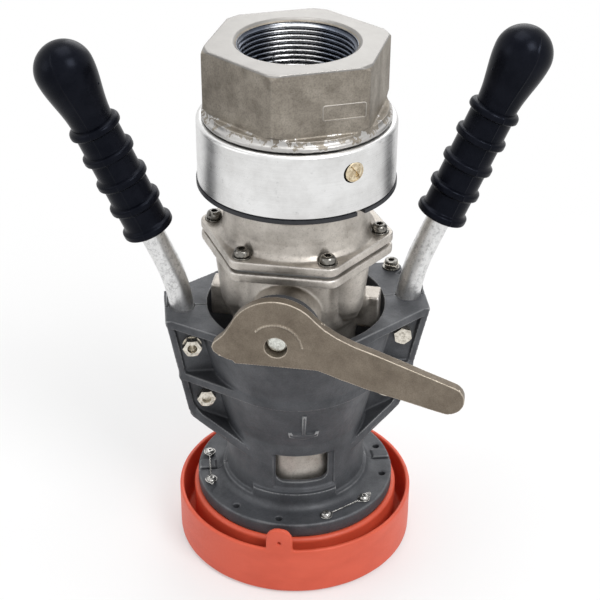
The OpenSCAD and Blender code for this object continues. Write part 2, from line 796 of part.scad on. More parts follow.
module collar_bore() {
  rotate_extrude() polygon([
    [0, flange_low_z - cut], [collar_in_r + 4.5, flange_low_z - cut], [collar_in_r + 4.5, flange_low_z + 6],
    [collar_in_r, flange_low_z + 9],
    [collar_in_r, thrust_z - 0.06], [thrust_r + 0.06, thrust_z - 0.06],
    [thrust_r + 0.06, thrust_z + thrust_t], [thrust_r + 0.06, thrust_z + thrust_t + 6],
    [mouth_r - 4, bowl_z - 8], [mouth_r, bowl_z + 4], [mouth_r, deck_z + 60], [0, deck_z + 60]
  ]);
}

// wing on the +X side, front quarter, with web, rim and ribs
module wing() {
  tip_r = 6;
  // upper web, carries the rod
  wing_slice(web_t, mid_rib_z - rib_t, deck_z - eps);
  // lower web
  wing_slice(web_low_t, wing_root_z - 2, mid_rib_z);
  // outer rim, deeper towards the deck
  intersection() {
    wing_prism(60, wing_rim_t);
    rotate([90, 0, 90]) linear_extrude(wing_x + 10) polygon([
      [0, wing_low_z - 8], [-web_low_t - 1, wing_low_z - 8], [-web_t - 1, mid_rib_z],
      [-wing_y, deck_z], [0, deck_z]
    ]);
  }
  // deck
  translate([0, 0, deck_z - rib_t]) linear_extrude(rib_t)
    front_quarter() rib_plan(bowl_r, [wing_x - tip_r, -wing_y + tip_r], tip_r);
  // middle rib
  translate([0, 0, mid_rib_z - rib_t]) linear_extrude(rib_t) front_quarter()
    rib_plan(mid_r, [wing_edge(mid_rib_z) - 3, -web_t + 2], 3);
  // lower rib follows the lower edge of the wing
  intersection() {
    difference() {
      wing_prism(60, 60);
      translate([-3, 0, rib_t * 1.15]) wing_prism(80, 60);
    }
    translate([0, 0, wing_root_z - 10]) linear_extrude(wing_h)
      front_quarter() rib_plan(barrel_r + 1.5, [wing_low_x - 3, -web_low_t + 2], 3);
  }
}

// outer radius of the taper at a height
function taper_r(z) = barrel_r + (bowl_r - barrel_r) * (z - taper_z) / taper_h;

function wing_edge(z) = wing_x - (deck_z - z) * tan(wing_lean);

module front_quarter() {
  intersection() {
    children();
    translate([0, -2 * wing_x]) square([2 * wing_x, 2 * wing_x]);
  }
}

// prism over the wing outline, of the given depth; width keeps only an outer strip
module wing_prism(depth, width) {
  corner = 6;
  rotate([90, 0, 0]) linear_extrude(depth) difference() {
    polygon([
      [30, deck_z], [wing_edge(deck_z), deck_z], [wing_edge(wing_low_z + corner), wing_low_z + corner],
      [wing_low_x - 2.5, wing_low_z - 1], [wing_low_x - corner - 1.5, wing_low_z - corner],
      [barrel_r + 1, wing_root_z], [30, wing_root_z]
    ]);
    polygon([
      [0, deck_z + 1], [wing_edge(deck_z + 1) - width, deck_z + 1],
      [wing_edge(wing_root_z - 9) - width, wing_root_z - 9], [0, wing_root_z - 9]
    ]);
  }
}

module wing_slice(depth, z_low, z_high) {
  intersection() {
    wing_prism(depth, 70);
    translate([0, -depth - 1, z_low]) cube([wing_x + 10, depth + 2, z_high - z_low]);
  }
}

module rod_hole() {
  translate([rod_x, 0, deck_z]) rotate([0, rod_lean, 0]) translate([0, 0, -rod_depth - 1])
    cylinder(r = rod_r + 0.02, h = rod_depth + 30);
}

// bolt axis along Y through a wing
module bolt_place(b) {
  translate([b[0], 0, b[1]]) rotate([90, 0, 0]) children();
}

module nose_hole_places() {
  for (k = [0:nose_holes - 1]) rotate([0, 0, hole_angle + k * hole_step]) translate([nose_bolt_r, 0, 0]) children();
}

// the screws hold three lugs, two screws to a lug
module nose_screw_places() {
  for (k = [0:2], j = [0, 1])
    rotate([0, 0, hole_angle + k * 120 + j * hole_step]) translate([nose_bolt_r, 0, 0]) children();
}

module collar_front() {
  sill_left = 29;
  sill_right = 21;
  win_z = flange_top_z + window_z;
  corner = 4;
  color(dark_grey) difference() {
    union() {
      collar_half(-1);
      // flat-topped sill below the window
      intersection() {
        translate([-sill_left, -barrel_r - 2.2, flange_top_z + 1]) cube([sill_left + sill_right, 12, window_z - 3]);
        tube(barrel_r + 6, barrel_r - 2, flange_top_z, 40);
      }
      arrow();
    }
    // window with rounded lower corners
    translate([0, -collar_in_r + 8, 0]) rotate([90, 0, 0]) linear_extrude(30) union() {
      translate([-window_w / 2, win_z + corner]) square([window_w, window_h - corner]);
      translate([-window_w / 2 + corner, win_z]) square([window_w - 2 * corner, corner + 1]);
      for (s = [-1, 1]) translate([s * (window_w / 2 - corner), win_z + corner]) circle(r = corner);
    }
    translate([0, 0, flange_low_z - cut]) cylinder(r = collar_in_r, h = 40);
  }
}

// raised arrow that points down to the window
module arrow() {
  foot_z = flange_top_z + 59;
  stand = 1.8;
  intersection() {
    union() {
      translate([-1.2, -barrel_r - 20, foot_z + 2]) cube([2.4, 30, 18]);
      translate([0, -barrel_r + 10, foot_z]) rotate([90, 0, 0]) linear_extrude(30)
        polygon([[0, -1.2], [9.4, 0.9], [10, 4.6], [8, 4.9], [7.4, 3.2], [-7.4, 3.2], [-8, 4.9], [-10, 4.6], [-9.4, 0.9]]);
    }
    rotate_extrude() polygon([
      [collar_in_r + 1, flange_top_z + 40], [barrel_r + stand, flange_top_z + 40], [barrel_r + stand, taper_z],
      [bowl_r - 1.5 + stand, bowl_z - 3], [collar_in_r + 8, bowl_z - 3]
    ]);
  }
}

module collar_rear() {
  color(dark_grey) union() {
    collar_half(1);
    // ear that carries the deck screw
    translate([0, 0, deck_z - rib_t]) linear_extrude(rib_t) {
      translate(deck_screw_at) circle(r = ear_r);
      polygon([deck_screw_at + 0.97 * ear_r * [cos(-25), sin(-25)], deck_screw_at + 0.97 * ear_r * [cos(80), sin(80)],
        0.97 * bowl_r * [cos(45), sin(45)], 0.97 * bowl_r * [cos(12), sin(12)]]);
    }
    // raised ends of the rear half beside the rods
    for (m = [0, 1]) mirror([m, 0, 0]) intersection() {
      translate([rod_x + rod_r + 1.4, split_gap / 2, deck_z - 2]) cube([wing_x - rod_x - rod_r - 2.6, 11, 8]);
      translate([rod_x + rod_r, 4, deck_z - 4]) rotate([0, 90, 0]) cylinder(r = 9.5, h = 10);
    }
    // raised pad on the rear part of the nose flange
    for (m = [0, 1]) mirror([m, 0, 0]) intersection() {
      tube(nose_flange_r - 0.9, barrel_r - 1, flange_top_z - 1, 1 + rear_step);
      translate([0, split_gap / 2, flange_top_z - 1]) cube([100, 9, 20]);
    }
  }
}

module nose_ring() {
  color(dark_grey) difference() {
    union() {
      tube(nose_r, nose_r - nose_wall, nose_z, nose_skirt_h);
      for (k = [0:2]) rotate([0, 0, hole_angle + hole_step / 2 + k * 120]) intersection() {
        tube(nose_r - 1, nose_r - nose_wall - lug_reach, nose_z, lug_h);
        translate([0, -17, nose_z]) cube([100, 34, lug_h]);
      }
    }
    nose_hole_places() translate([0, 0, flange_low_z - 12]) cylinder(r = nose_hole_r, h = 20);
  }
}

module nose_screws() {
  head_h = 3.8;
  color(steel) nose_screw_places() difference() {
    union() {
      translate([0, 0, flange_top_z + 0.02]) cylinder(r = 2.9, h = head_h);
      translate([0, 0, flange_low_z - 9]) cylinder(r = nose_hole_r - 0.03, h = nose_flange_t + 9.5);
    }
    translate([0, 0, flange_top_z + head_h - 1.6]) cylinder(r = 1.5, h = 4, $fn = 6);
  }
}

// safety wire between the two screws of each lug
module lock_wires() {
  wire_r = 0.55;
  a = hole_step / 2;
  chord = 2 * nose_bolt_r * sin(a);
  color(steel) for (k = [0:2])
    rotate([0, 0, hole_angle + a + k * 120]) {
      translate([nose_bolt_r * cos(a) + 2.2, chord / 2 - 2.6, flange_top_z + rear_step + wire_r + 0.1])
        rotate([90, 0, 0]) cylinder(r = wire_r, h = chord - 5.2);
    }
}

module hex_bar(r, h) {
  cylinder(r = r, h = h, $fn = 6);
}

// places its children at the four wing bolts, Z along the bolt with the head on the plus side;
// the upper bolt of the left wing goes in from the back, the other three from the front
module wing_bolt_places() {
  for (m = [0, 1]) mirror([m, 0, 0]) for (b = [upper_bolt, lower_bolt]) {
    from_back = m == 1 && b == upper_bolt;
    $seat = b[2];
    translate([b[0], 0, b[1]]) rotate([from_back ? -90 : 90, 0, 0]) children();
  }
}

module wing_bolts() {
  color(steel) wing_bolt_places() {
    translate([0, 0, $seat]) hex_bar(bolt_head_r, bolt_head_h);
    translate([0, 0, -$seat - 8]) cylinder(r = bolt_r, h = 2 * $seat + 8.5);
  }
}

module wing_nuts() {
  nut_h = 5;
  color(steel) wing_bolt_places() rotate([180, 0, 0]) translate([0, 0, $seat]) difference() {
    union() {
      cylinder(r = bolt_head_r, h = washer_t);
      translate([0, 0, washer_t]) hex_bar(bolt_head_r, nut_h);
    }
    translate([0, 0, -cut]) cylinder(r = bolt_r, h = nut_h + washer_t + 2 * cut);
  }
}

// ---- handles ----

// straight, bent and straight again, on the +X side
module rod_shape(r) {
  bend = grip_lean - rod_lean;
  lap = 1;
  swell = 0.03;
  translate([rod_x, 0, deck_z]) rotate([0, rod_lean, 0]) {
    translate([0, 0, -rod_depth]) cylinder(r = r, h = rod_depth + bend_start + lap);
    // the bend is a hair thicker than the straight ends, which run a little way into it
    translate([bend_r, 0, bend_start]) rotate([90, 0, 180])
      rotate_extrude(angle = bend) translate([bend_r, 0]) circle(r = r + swell);
    at_bend_end() translate([0, 0, -lap]) cylinder(r = r, h = lap + rod_free + grip_len - 14);
  }
}

module at_bend_end() {
  bend = grip_lean - rod_lean;
  translate([bend_r * (1 - cos(bend)), 0, bend_start + bend_r * sin(bend)]) rotate([0, bend, 0]) children();
}

module handle_rod() {
  color(brushed) difference() {
    rod_shape(rod_r);
    bolt_place(upper_bolt) cylinder(r = bolt_hole_r, h = 80, center = true);
  }
}

// grip in its own frame: open end at the origin, bulb up the Z axis
module grip() {
  lip = 3;
  top_ring = lip + (ring_count - 1) * ring_pitch;
  neck = 13.2;
  color(black) translate([rod_x, 0, deck_z]) rotate([0, rod_lean, 0]) at_bend_end()
    translate([0, 0, rod_free]) difference() {
      rotate_extrude() difference() {
        union() {
          polygon([
            [0, 0], [grip_r - 0.6, 0], [grip_r, 1], [grip_r, top_ring], [neck, top_ring + 3], [neck + 0.2, top_ring + 9],
            [neck + 1.4, top_ring + 17], [neck + 3.1, top_ring + 25], [bulb_r - 1.1, grip_len - 7.5], [bulb_r * 0.95, grip_len - 5.7],
            [bulb_r * 0.9, grip_len], [0, grip_len]
          ]);
          translate([0, grip_len]) circle(r = bulb_r);
          for (k = [0:ring_count - 1])
            translate([ring_r - lip, lip + k * ring_pitch]) circle(r = lip);
        }
        translate([-60, -10]) square([60, grip_len + 60]);
      }
      translate([0, 0, -cut]) cylinder(r = rod_r, h = grip_len - 14 + cut);
    }
}

module rod_left() { mirror([1, 0, 0]) handle_rod(); }
module rod_right() { handle_rod(); }
module grip_left() { mirror([1, 0, 0]) grip(); }
module grip_right() { grip(); }

// lock-wired cap screw on the rear of the right deck
module deck_screw() {
  color(steel) translate([deck_screw_at[0], deck_screw_at[1], deck_z + 0.02]) difference() {
    union() {
      cylinder(r = 6, h = 1.2);
      cylinder(r = 4.4, h = 6);
    }
    translate([0, 0, 4]) cylinder(r = 2.2, h = 4, $fn = 6);
  }
}

// ---- dust cap ----

module dust_cap() {
  hug_top = flange_low_z - 0.3;
  color(cap_red) difference() {
    union() {
      rotate_extrude() {
        polygon([
          [0, 0], [cap_r - 2, 0], [cap_r, 2], [cap_r, cap_h - 0.7], [cap_r - 0.7, cap_h],
          [cap_r - cap_wall + 0.7, cap_h], [cap_r - cap_wall, cap_h - 0.7], [cap_r - cap_wall, cap_floor], [0, cap_floor]
        ]);
        polygon([
          [cap_hug_in, cap_floor - eps], [cap_hug_in + cap_hug, cap_floor - eps], [cap_hug_in + cap_hug, hug_top - 1.5],
          [cap_hug_in + cap_hug - 1.5, hug_top], [cap_hug_in + 0.6, hug_top], [cap_hug_in, hug_top - 0.6]
        ]);
      }
      // pull tab with a round top, part of the skirt
      rotate([0, 0, tab_angle]) intersection() {
        tube(cap_r, cap_r - cap_wall, cap_h - 12, tab_h + 13);
        translate([0, 0, cap_h]) rotate([90, 0, 90]) linear_extrude(cap_r + 5) union() {
          translate([-tab_w / 2, -12]) square([tab_w, 12 + tab_h - tab_w / 2]);
          translate([0, tab_h - tab_w / 2]) circle(r = tab_w / 2);
        }
      }
    }
    rotate([0, 0, tab_angle]) translate([0, 0, cap_h + tab_h - tab_w / 2 - 2.6]) rotate([0, 90, 0])
      cylinder(r = tab_hole_r, h = cap_r + 5);
  }
}

inlet_hex();
swivel_balls();
swivel_seal();
race_band();
race_plug();
dust_seal();
outlet_casting();
flange_screws();
flange_gasket();
valve_body();
shaft_gland();
shaft_bush();
shaft_packing();
collar_bearing();
poppet_guide();
nose_seal();
flow_lever();
lever_shaft();
lever_pin();
crank_arm();
crank_roller();
poppet_head();
poppet_seal();
poppet_stem();
poppet_yoke();
collar_front();
collar_rear();
nose_ring();
nose_screws();
lock_wires();
wing_bolts();
wing_nuts();
rod_left();
rod_right();
grip_left();
grip_right();
deck_screw();
dust_cap();
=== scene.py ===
import bpy
import bmesh
import json
from math import sin, cos, tan, acos, pi, radians, degrees, atan2, hypot
from mathutils import Vector, Matrix, noise


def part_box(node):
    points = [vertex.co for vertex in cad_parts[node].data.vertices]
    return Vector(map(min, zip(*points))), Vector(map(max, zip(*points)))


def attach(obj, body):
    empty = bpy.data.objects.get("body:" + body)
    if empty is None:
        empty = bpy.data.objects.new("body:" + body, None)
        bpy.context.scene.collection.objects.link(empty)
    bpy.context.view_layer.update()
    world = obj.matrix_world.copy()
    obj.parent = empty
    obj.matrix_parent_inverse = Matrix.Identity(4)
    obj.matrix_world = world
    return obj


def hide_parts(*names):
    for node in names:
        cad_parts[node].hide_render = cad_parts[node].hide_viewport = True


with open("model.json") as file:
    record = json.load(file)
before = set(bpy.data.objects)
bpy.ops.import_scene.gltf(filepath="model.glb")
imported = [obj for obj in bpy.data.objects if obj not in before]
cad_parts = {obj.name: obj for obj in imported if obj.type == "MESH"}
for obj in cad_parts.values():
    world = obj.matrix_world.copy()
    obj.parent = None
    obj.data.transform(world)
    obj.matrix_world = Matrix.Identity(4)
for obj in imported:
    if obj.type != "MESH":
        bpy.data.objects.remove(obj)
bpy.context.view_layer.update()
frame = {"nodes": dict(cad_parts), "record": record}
nodes = frame["nodes"]
mm = 0.001
waveSize = 12  # length of the waves in a cast surface, in millimetres

# the valve body sits turned against the collar
leverAxis = next(j["axis"] for j in frame["record"]["behaviour"]["joints"] if j["name"] == "flow_lever_turn")
bodyTurn = degrees(atan2(leverAxis[0], -leverAxis[1]))


def span(node):
    # lowest and highest point of a node, in millimetres
    low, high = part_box(node)
    return low[2] / mm, high[2] / mm


hexTop = span("inlet_hex")[1]
bandTop = span("race_band")[1]
deckTop = span("collar_front")[1]
print("frame loaded,", len(nodes), "nodes")


# mesh tools

def addObject(name, data):
    piece = bpy.data.objects.new(name, data)
    bpy.context.scene.collection.objects.link(piece)
    return piece


def shadeMesh(mesh, sharpAngle=35):
    mesh.shade_smooth()
    mesh.set_sharp_from_angle(angle=radians(sharpAngle))


def meshFrom(bm, name, sharpAngle=35):
    bmesh.ops.recalc_face_normals(bm, faces=bm.faces)
    mesh = bpy.data.meshes.new(name)
    bm.to_mesh(mesh)
    bm.free()
    shadeMesh(mesh, sharpAngle)
    return mesh


def dress(piece, body, slot, finish, replaced=()):
    # finish, body, slot (not used) and the CAD nodes that the piece stands for
    piece.data.materials.clear()
    piece.data.materials.append(finishes[finish])
    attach(piece, body)
    if replaced:
        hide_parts(*replaced)


def dressMesh(name, bm, sharpAngle, *rides):
    dress(addObject(name, meshFrom(bm, name, sharpAngle)), *rides)


def roundOutline(points, cuts=5):
    # closed outline with rounded corners; each point is (radius, height, corner radius), in millimetres
    outline = []
    for i, (x, z, fillet) in enumerate(points):
        corner = Vector((x, z))
        before = (Vector(points[i - 1][:2]) - corner).normalized()
        after = (Vector(points[(i + 1) % len(points)][:2]) - corner).normalized()
        half = before.angle(after) / 2
        centre = corner + (before + after).normalized() * (fillet / sin(half))
        first = corner + before * (fillet / tan(half)) - centre
        final = corner + after * (fillet / tan(half)) - centre
        start = atan2(first.y, first.x)
        sweep = (atan2(final.y, final.x) - start + pi) % (2 * pi) - pi
        for k in range(cuts + 1):
            a = start + sweep * k / cuts
            outline.append(centre + fillet * Vector((cos(a), sin(a))))
    return outline


def latheInto(bm, outline, place=Matrix(), steps=96):
    # turns a closed outline in millimetres about Z and adds it to the mesh
    outline = [Vector(at) for at in outline]
    rings = []
    for k in range(steps):
        a = 2 * pi * k / steps
        rings.append([bm.verts.new((p.x * cos(a) * mm, p.x * sin(a) * mm, p.y * mm)) for p in outline])
    for k in range(steps):
        here, there = rings[k], rings[(k + 1) % steps]
        for j in range(len(outline)):
            n = (j + 1) % len(outline)
            bm.faces.new((here[j], there[j], there[n], here[n]))
    made = [v for ring in rings for v in ring]
    onAxis = [v for v in made if hypot(v.co.x, v.co.y) < 1e-7]
    bmesh.ops.remove_doubles(bm, verts=onAxis, dist=1e-6)
    bmesh.ops.transform(bm, matrix=place, verts=[v for v in made if v.is_valid])


def bridge(bm, here, there):
    # side faces between two loops of corners
    for k in range(len(here)):
        n = (k + 1) % len(here)
        bm.faces.new((here[k], here[n], there[n], there[k]))


def stackInto(bm, rings, place, steps=72, closedEnds=True):
    # bridges a stack of rings, each a rule from angle to (radius, height) in millimetres
    angles = [2 * pi * k / steps for k in range(steps)]
    loops = []
    for rule in rings:
        sides = [rule(a) for a in angles]
        loops.append([bm.verts.new((r * cos(a) * mm, r * sin(a) * mm, z * mm))
                      for a, (r, z) in zip(angles, sides)])
    pairs = list(zip(loops, loops[1:]))
    if closedEnds:
        bm.faces.new(loops[0])
        bm.faces.new(loops[-1])
    else:
        pairs.append((loops[-1], loops[0]))
    for here, there in pairs:
        bridge(bm, here, there)
    bmesh.ops.transform(bm, matrix=place, verts=[v for loop in loops for v in loop])


def prismInto(bm, plan, low, high):
    # upright prism over a plan in millimetres; low and high may be rules over x
    low, high = [z if callable(z) else (lambda x, z=z: z) for z in (low, high)]
    loops = [[bm.verts.new((x * mm, y * mm, rule(x) * mm)) for x, y in plan] for rule in (low, high)]
    bm.faces.new(loops[0])
    bm.faces.new(loops[1])
    bridge(bm, *loops)


def shifted(x, y, z):
    return Matrix.Translation((x * mm, y * mm, z * mm))


def turned(angle, radius=0.0, height=0.0):
    # a place out on a circle about the main axis, in degrees and millimetres
    return Matrix.Rotation(radians(angle), 4, "Z") @ shifted(radius, 0, height)


def quarter(first, cuts=6):
    # angles of a quarter circle
    return [radians(first + 90 * k / cuts) for k in range(cuts + 1)]


def arcPlan(inner, outer, left, right, cuts=24):
    # the part of a front ring between two upright planes
    xs = [left + (right - left) * k / cuts for k in range(cuts + 1)]
    outside = [(x, -(outer ** 2 - x ** 2) ** 0.5) for x in xs]
    return outside + [(x, -(inner ** 2 - x ** 2) ** 0.5) for x in reversed(xs)]


def shapeMesh(bm, side=0, splitGap=0.3):
    # closed helper solid; side keeps only the front (-1) or rear (1) half
    if side:
        bmesh.ops.bisect_plane(bm, geom=bm.verts[:] + bm.edges[:] + bm.faces[:], clear_inner=True,
                               plane_co=(0, side * splitGap * mm, 0), plane_no=(0, side, 0))
        bmesh.ops.holes_fill(bm, edges=[e for e in bm.edges if e.is_boundary])
    return meshFrom(bm, "helper")


def softCopy(name, node, grain, soften, waves, cutters=(), added=()):
    # a skin over a CAD node with the rounded edges of a casting, after helper solids cut or join it
    piece = addObject(name, nodes[node].data.copy())
    helpers = []
    for kind, meshes in (("DIFFERENCE", cutters), ("UNION", added)):
        for mesh in meshes:
            helpers.append(addObject("helper", mesh))
            change = piece.modifiers.new(kind, "BOOLEAN")
            change.operation = kind
            change.object = helpers[-1]
    remesh = piece.modifiers.new("skin", "REMESH")
    remesh.mode = "VOXEL"
    remesh.voxel_size = grain * mm
    smooth = piece.modifiers.new("soften", "SMOOTH")
    smooth.iterations = soften
    graph = bpy.context.evaluated_depsgraph_get()
    mesh = bpy.data.meshes.new_from_object(piece.evaluated_get(graph))
    piece.modifiers.clear()
    piece.data = mesh
    for helper in helpers:
        bpy.data.objects.remove(helper)
    mesh.name = name
    low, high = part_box(node)
    moved = []
    for v in mesh.vertices:
        at = v.co + v.normal * (waves * mm * noise.noise(v.co / (waveSize * mm)))
        moved += [min(max(c, a), b) for c, a, b in zip(at, low, high)]
    mesh.vertices.foreach_set("co", moved)
    mesh.shade_smooth()
    print("  skin", name, len(mesh.polygons), "faces")
    return piece


def tubes(name, paths, radius, cyclic=False, roundness=3, sharpAngle=50):
    # round wires along paths in millimetres, turned into a mesh
    curve = bpy.data.curves.new(name, "CURVE")
    curve.dimensions = "3D"
    curve.bevel_depth = radius * mm
    curve.bevel_resolution = roundness
    curve.use_fill_caps = True
    for path in paths:
        line = curve.splines.new("POLY")
        line.points.add(len(path) - 1)
        for p, at in zip(line.points, path):
            p.co = (*[c * mm for c in at], 1)
        line.use_cyclic_u = cyclic
        line.use_smooth = True
    piece = addObject(name, curve)
    mesh = bpy.data.meshes.new_from_object(piece)
    bpy.data.objects.remove(piece)
    shadeMesh(mesh, sharpAngle)
    return addObject(name, mesh)


# edges of bolts, nuts and screws, in millimetres; face, top, chamfer, dishRim, dishFloor, tip, cone and core
# are shares
fastener = {
    "face": 1.01, "top": 0.94, "chamfer": 0.6, "bore": 0.5, "dishRim": 0.56, "dishFloor": 0.46,
    "dishStep": 0.1, "socketStep": 0.1, "tip": 0.12, "cone": 0.2, "core": 0.3, "endRim": 0.9, "endEdge": 0.5,
    "rootDepth": 0.45, "neckEdge": 0.3, "washer": (0.1, 0.2, 0.3, 0.15), "steps": 48, "shankSteps": 32,
}


def hexRadius(across, a):
    # distance from the centre of a hexagon to its side at angle a
    return across / 2 / cos((a + pi / 6) % (pi / 3) - pi / 6)


def hexInto(bm, across, low, high, place, hole=0.0, dish=0.0):
    # hexagon head or nut with its turned chamfer; a nut has a hole, a forged head a dish
    f = fastener
    face = across / 2 * f["face"]

    def drop(a):
        return max(0, hexRadius(across, a) - face) * f["chamfer"]

    rings = [lambda a: (hexRadius(across, a), high - drop(a)), lambda a: (face * f["top"], high)]
    if hole:
        rings = [lambda a: (hole, low), lambda a: (face * f["top"], low),
                 lambda a: (hexRadius(across, a), low + drop(a))] + rings
        rings += [lambda a: (hole + f["bore"], high), lambda a: (hole, high - f["bore"])]
    else:
        rings = [lambda a: (hexRadius(across, a), low)] + rings
    if dish:
        rings += [lambda a: (face * f["dishRim"], high - f["dishStep"]),
                  lambda a: (face * f["dishFloor"], high - dish)]
    stackInto(bm, rings, place, closedEnds=not hole)


def socketHeadInto(bm, outline, across, depth, place):
    # turned head with a hexagon socket; the outline runs from the foot to the rim of the socket
    top = outline[-1][1]
    rings = [lambda a, at=at: at for at in outline]
    rings.append(lambda a: (hexRadius(across, a), top - fastener["socketStep"]))
    rings.append(lambda a: (hexRadius(across, a), top - depth))
    rings.append(lambda a: (across * fastener["tip"], top - depth - across * fastener["cone"]))
    stackInto(bm, rings, place, fastener["steps"])


def shankInto(bm, radius, low, high, place, pitch, threaded, dish=0.0):
    # shank with a thread on the first stretch from its low end, which may have a dish
    f = fastener
    outline = [(radius - f["endEdge"], low), (radius, low + f["endEdge"])]
    if dish:
        outline = [(radius * f["core"], low + dish), (radius - f["endRim"], low + dish * f["core"])] + outline
    z = low + f["endEdge"]
    while z + pitch < low + threaded:
        outline += [(radius - f["rootDepth"], z + pitch / 2), (radius, z + pitch)]
        z += pitch
    outline += [(radius, high - f["neckEdge"]), (radius - f["neckEdge"], high)]
    stackInto(bm, [lambda a, at=at: at for at in outline], place, f["shankSteps"])


def washerInto(bm, inner, outer, low, thick, place):
    corners = ((inner, low), (outer, low), (outer, low + thick), (inner, low + thick))
    outline = roundOutline([(*at, fillet) for at, fillet in zip(corners, fastener["washer"])])
    latheInto(bm, outline, place, fastener["steps"])


# material tools

def startMaterial(name, metallic=0.0):
    material = bpy.data.materials.new(name)
    material.use_nodes = True
    tree = material.node_tree
    shader = tree.nodes["Principled BSDF"]
    shader.inputs["Metallic"].default_value = metallic
    return material, tree, shader, tree.nodes.new("ShaderNodeTexCoord").outputs["Object"]


def addNode(tree, kind, sockets=None, **settings):
    node = tree.nodes.new("ShaderNode" + kind)
    for key, value in settings.items():
        setattr(node, key, value)
    for key, value in (sockets or {}).items():
        if isinstance(value, bpy.types.NodeSocket):
            tree.links.new(value, node.inputs[key])
        else:
            node.inputs[key].default_value = value
    return node


def grainNode(tree, place, scale, detail, rough, stretch=None):
    if stretch is not None:
        place = addNode(tree, "VectorMath", {0: place, 1: stretch}, operation="MULTIPLY").outputs[0]
    return addNode(tree, "TexNoise", {"Vector": place, "Scale": scale, "Detail": detail,
                                      "Roughness": rough}).outputs["Fac"]


def rampNode(tree, factor, stops):
    ramp = addNode(tree, "ValToRGB", {0: factor})
    for element, (at, shade) in zip(ramp.color_ramp.elements, stops):
        element.position = at
        element.color = (*shade, 1) if isinstance(shade, tuple) else (shade, shade, shade, 1)
    return ramp.outputs["Color"]


def mixNode(tree, factor, a, b, blend="MIX"):
    b = b if isinstance(b, bpy.types.NodeSocket) else (*b, 1)
    return addNode(tree, "Mix", {0: factor, 6: a, 7: b}, data_type="RGBA", blend_type=blend).outputs[2]


def mathNode(tree, operation, *values):
    return addNode(tree, "Math", dict(enumerate(values)), operation=operation).outputs[0]


def rangeNode(tree, value, low, high, toLow=0.0, toHigh=1.0, kind="LINEAR"):
    # maps low..high to toLow..toHigh
    return addNode(tree, "MapRange", {0: value, 1: low, 2: high, 3: toLow, 4: toHigh},
                   interpolation_type=kind).outputs[0]


def darkenNode(tree, tone, factor, amount, *stops):
    return mixNode(tree, amount, tone, rampNode(tree, factor, stops), "MULTIPLY")


def rubAndHighlightNode(tree, place, low, high, patch, unevenness=0.06):
    # bright where an edge stands out, broken up by a coarse noise: rubbed edges that also carry a painted
    # edge highlight
    edge = addNode(tree, "NewGeometry").outputs["Pointiness"]
    uneven = grainNode(tree, place, patch, 5, 0.7)
    lifted = mathNode(tree, "MULTIPLY_ADD", uneven, unevenness, -unevenness / 2)
    return rampNode(tree, mathNode(tree, "ADD", edge, lifted), [(low, 0.0), (high, 1.0)])


def surface(tree, shader, tone, gloss, bumps=()):
    # base colour, roughness and bumps, each (socket, distance in millimetres, strength)
    tree.links.new(tone, shader.inputs["Base Color"])
    tree.links.new(gloss, shader.inputs["Roughness"])
    normal = None
    for socket, distance, strength in bumps:
        sockets = {"Height": socket, "Distance": distance * mm, "Strength": strength}
        if normal is not None:
            sockets["Normal"] = normal
        normal = addNode(tree, "Bump", sockets).outputs["Normal"]
    if normal is not None:
        tree.links.new(normal, shader.inputs["Normal"])


def makeFinish(name, look):
    material, tree, shader, place = startMaterial(name, look["metallic"])
    noises = {key: grainNode(tree, place, *values) for key, values in look["noises"].items()}
    if "pits" in look:
        cells = addNode(tree, "TexVoronoi", {"Vector": place, "Scale": look["pits"]})
        noises["pits"] = cells.outputs["Distance"]
    key, *over = look["over"]
    tone = rampNode(tree, noises[key], zip(over, (look["dark"], look["light"])))
    for key, *values in look.get("darkened", ()):
        tone = darkenNode(tree, tone, noises[key], *values)
    for key, colour, *stops in look.get("dabbed", ()):
        tone = mixNode(tree, rampNode(tree, noises[key], stops), tone, colour)
    # rubbed edges, brightened further into a painted edge highlight
    if "rubAndHighlight" in look:
        tone = mixNode(tree, rubAndHighlightNode(tree, place, *look["rubAndHighlight"]), tone, look["rubbedAndHighlit"])
    for socket, value in look.get("sockets", {}).items():
        shader.inputs[socket].default_value = value
    if "turnedAbout" in look:
        tangent = addNode(tree, "Tangent", direction_type="RADIAL", axis=look["turnedAbout"])
        tree.links.new(tangent.outputs[0], shader.inputs["Tangent"])
    bumps = [(noises[key], *values) for key, *values in look["bumps"]]
    key, *stops = look["gloss"]
    surface(tree, shader, tone, rampNode(tree, noises[key], stops), bumps)
    return material
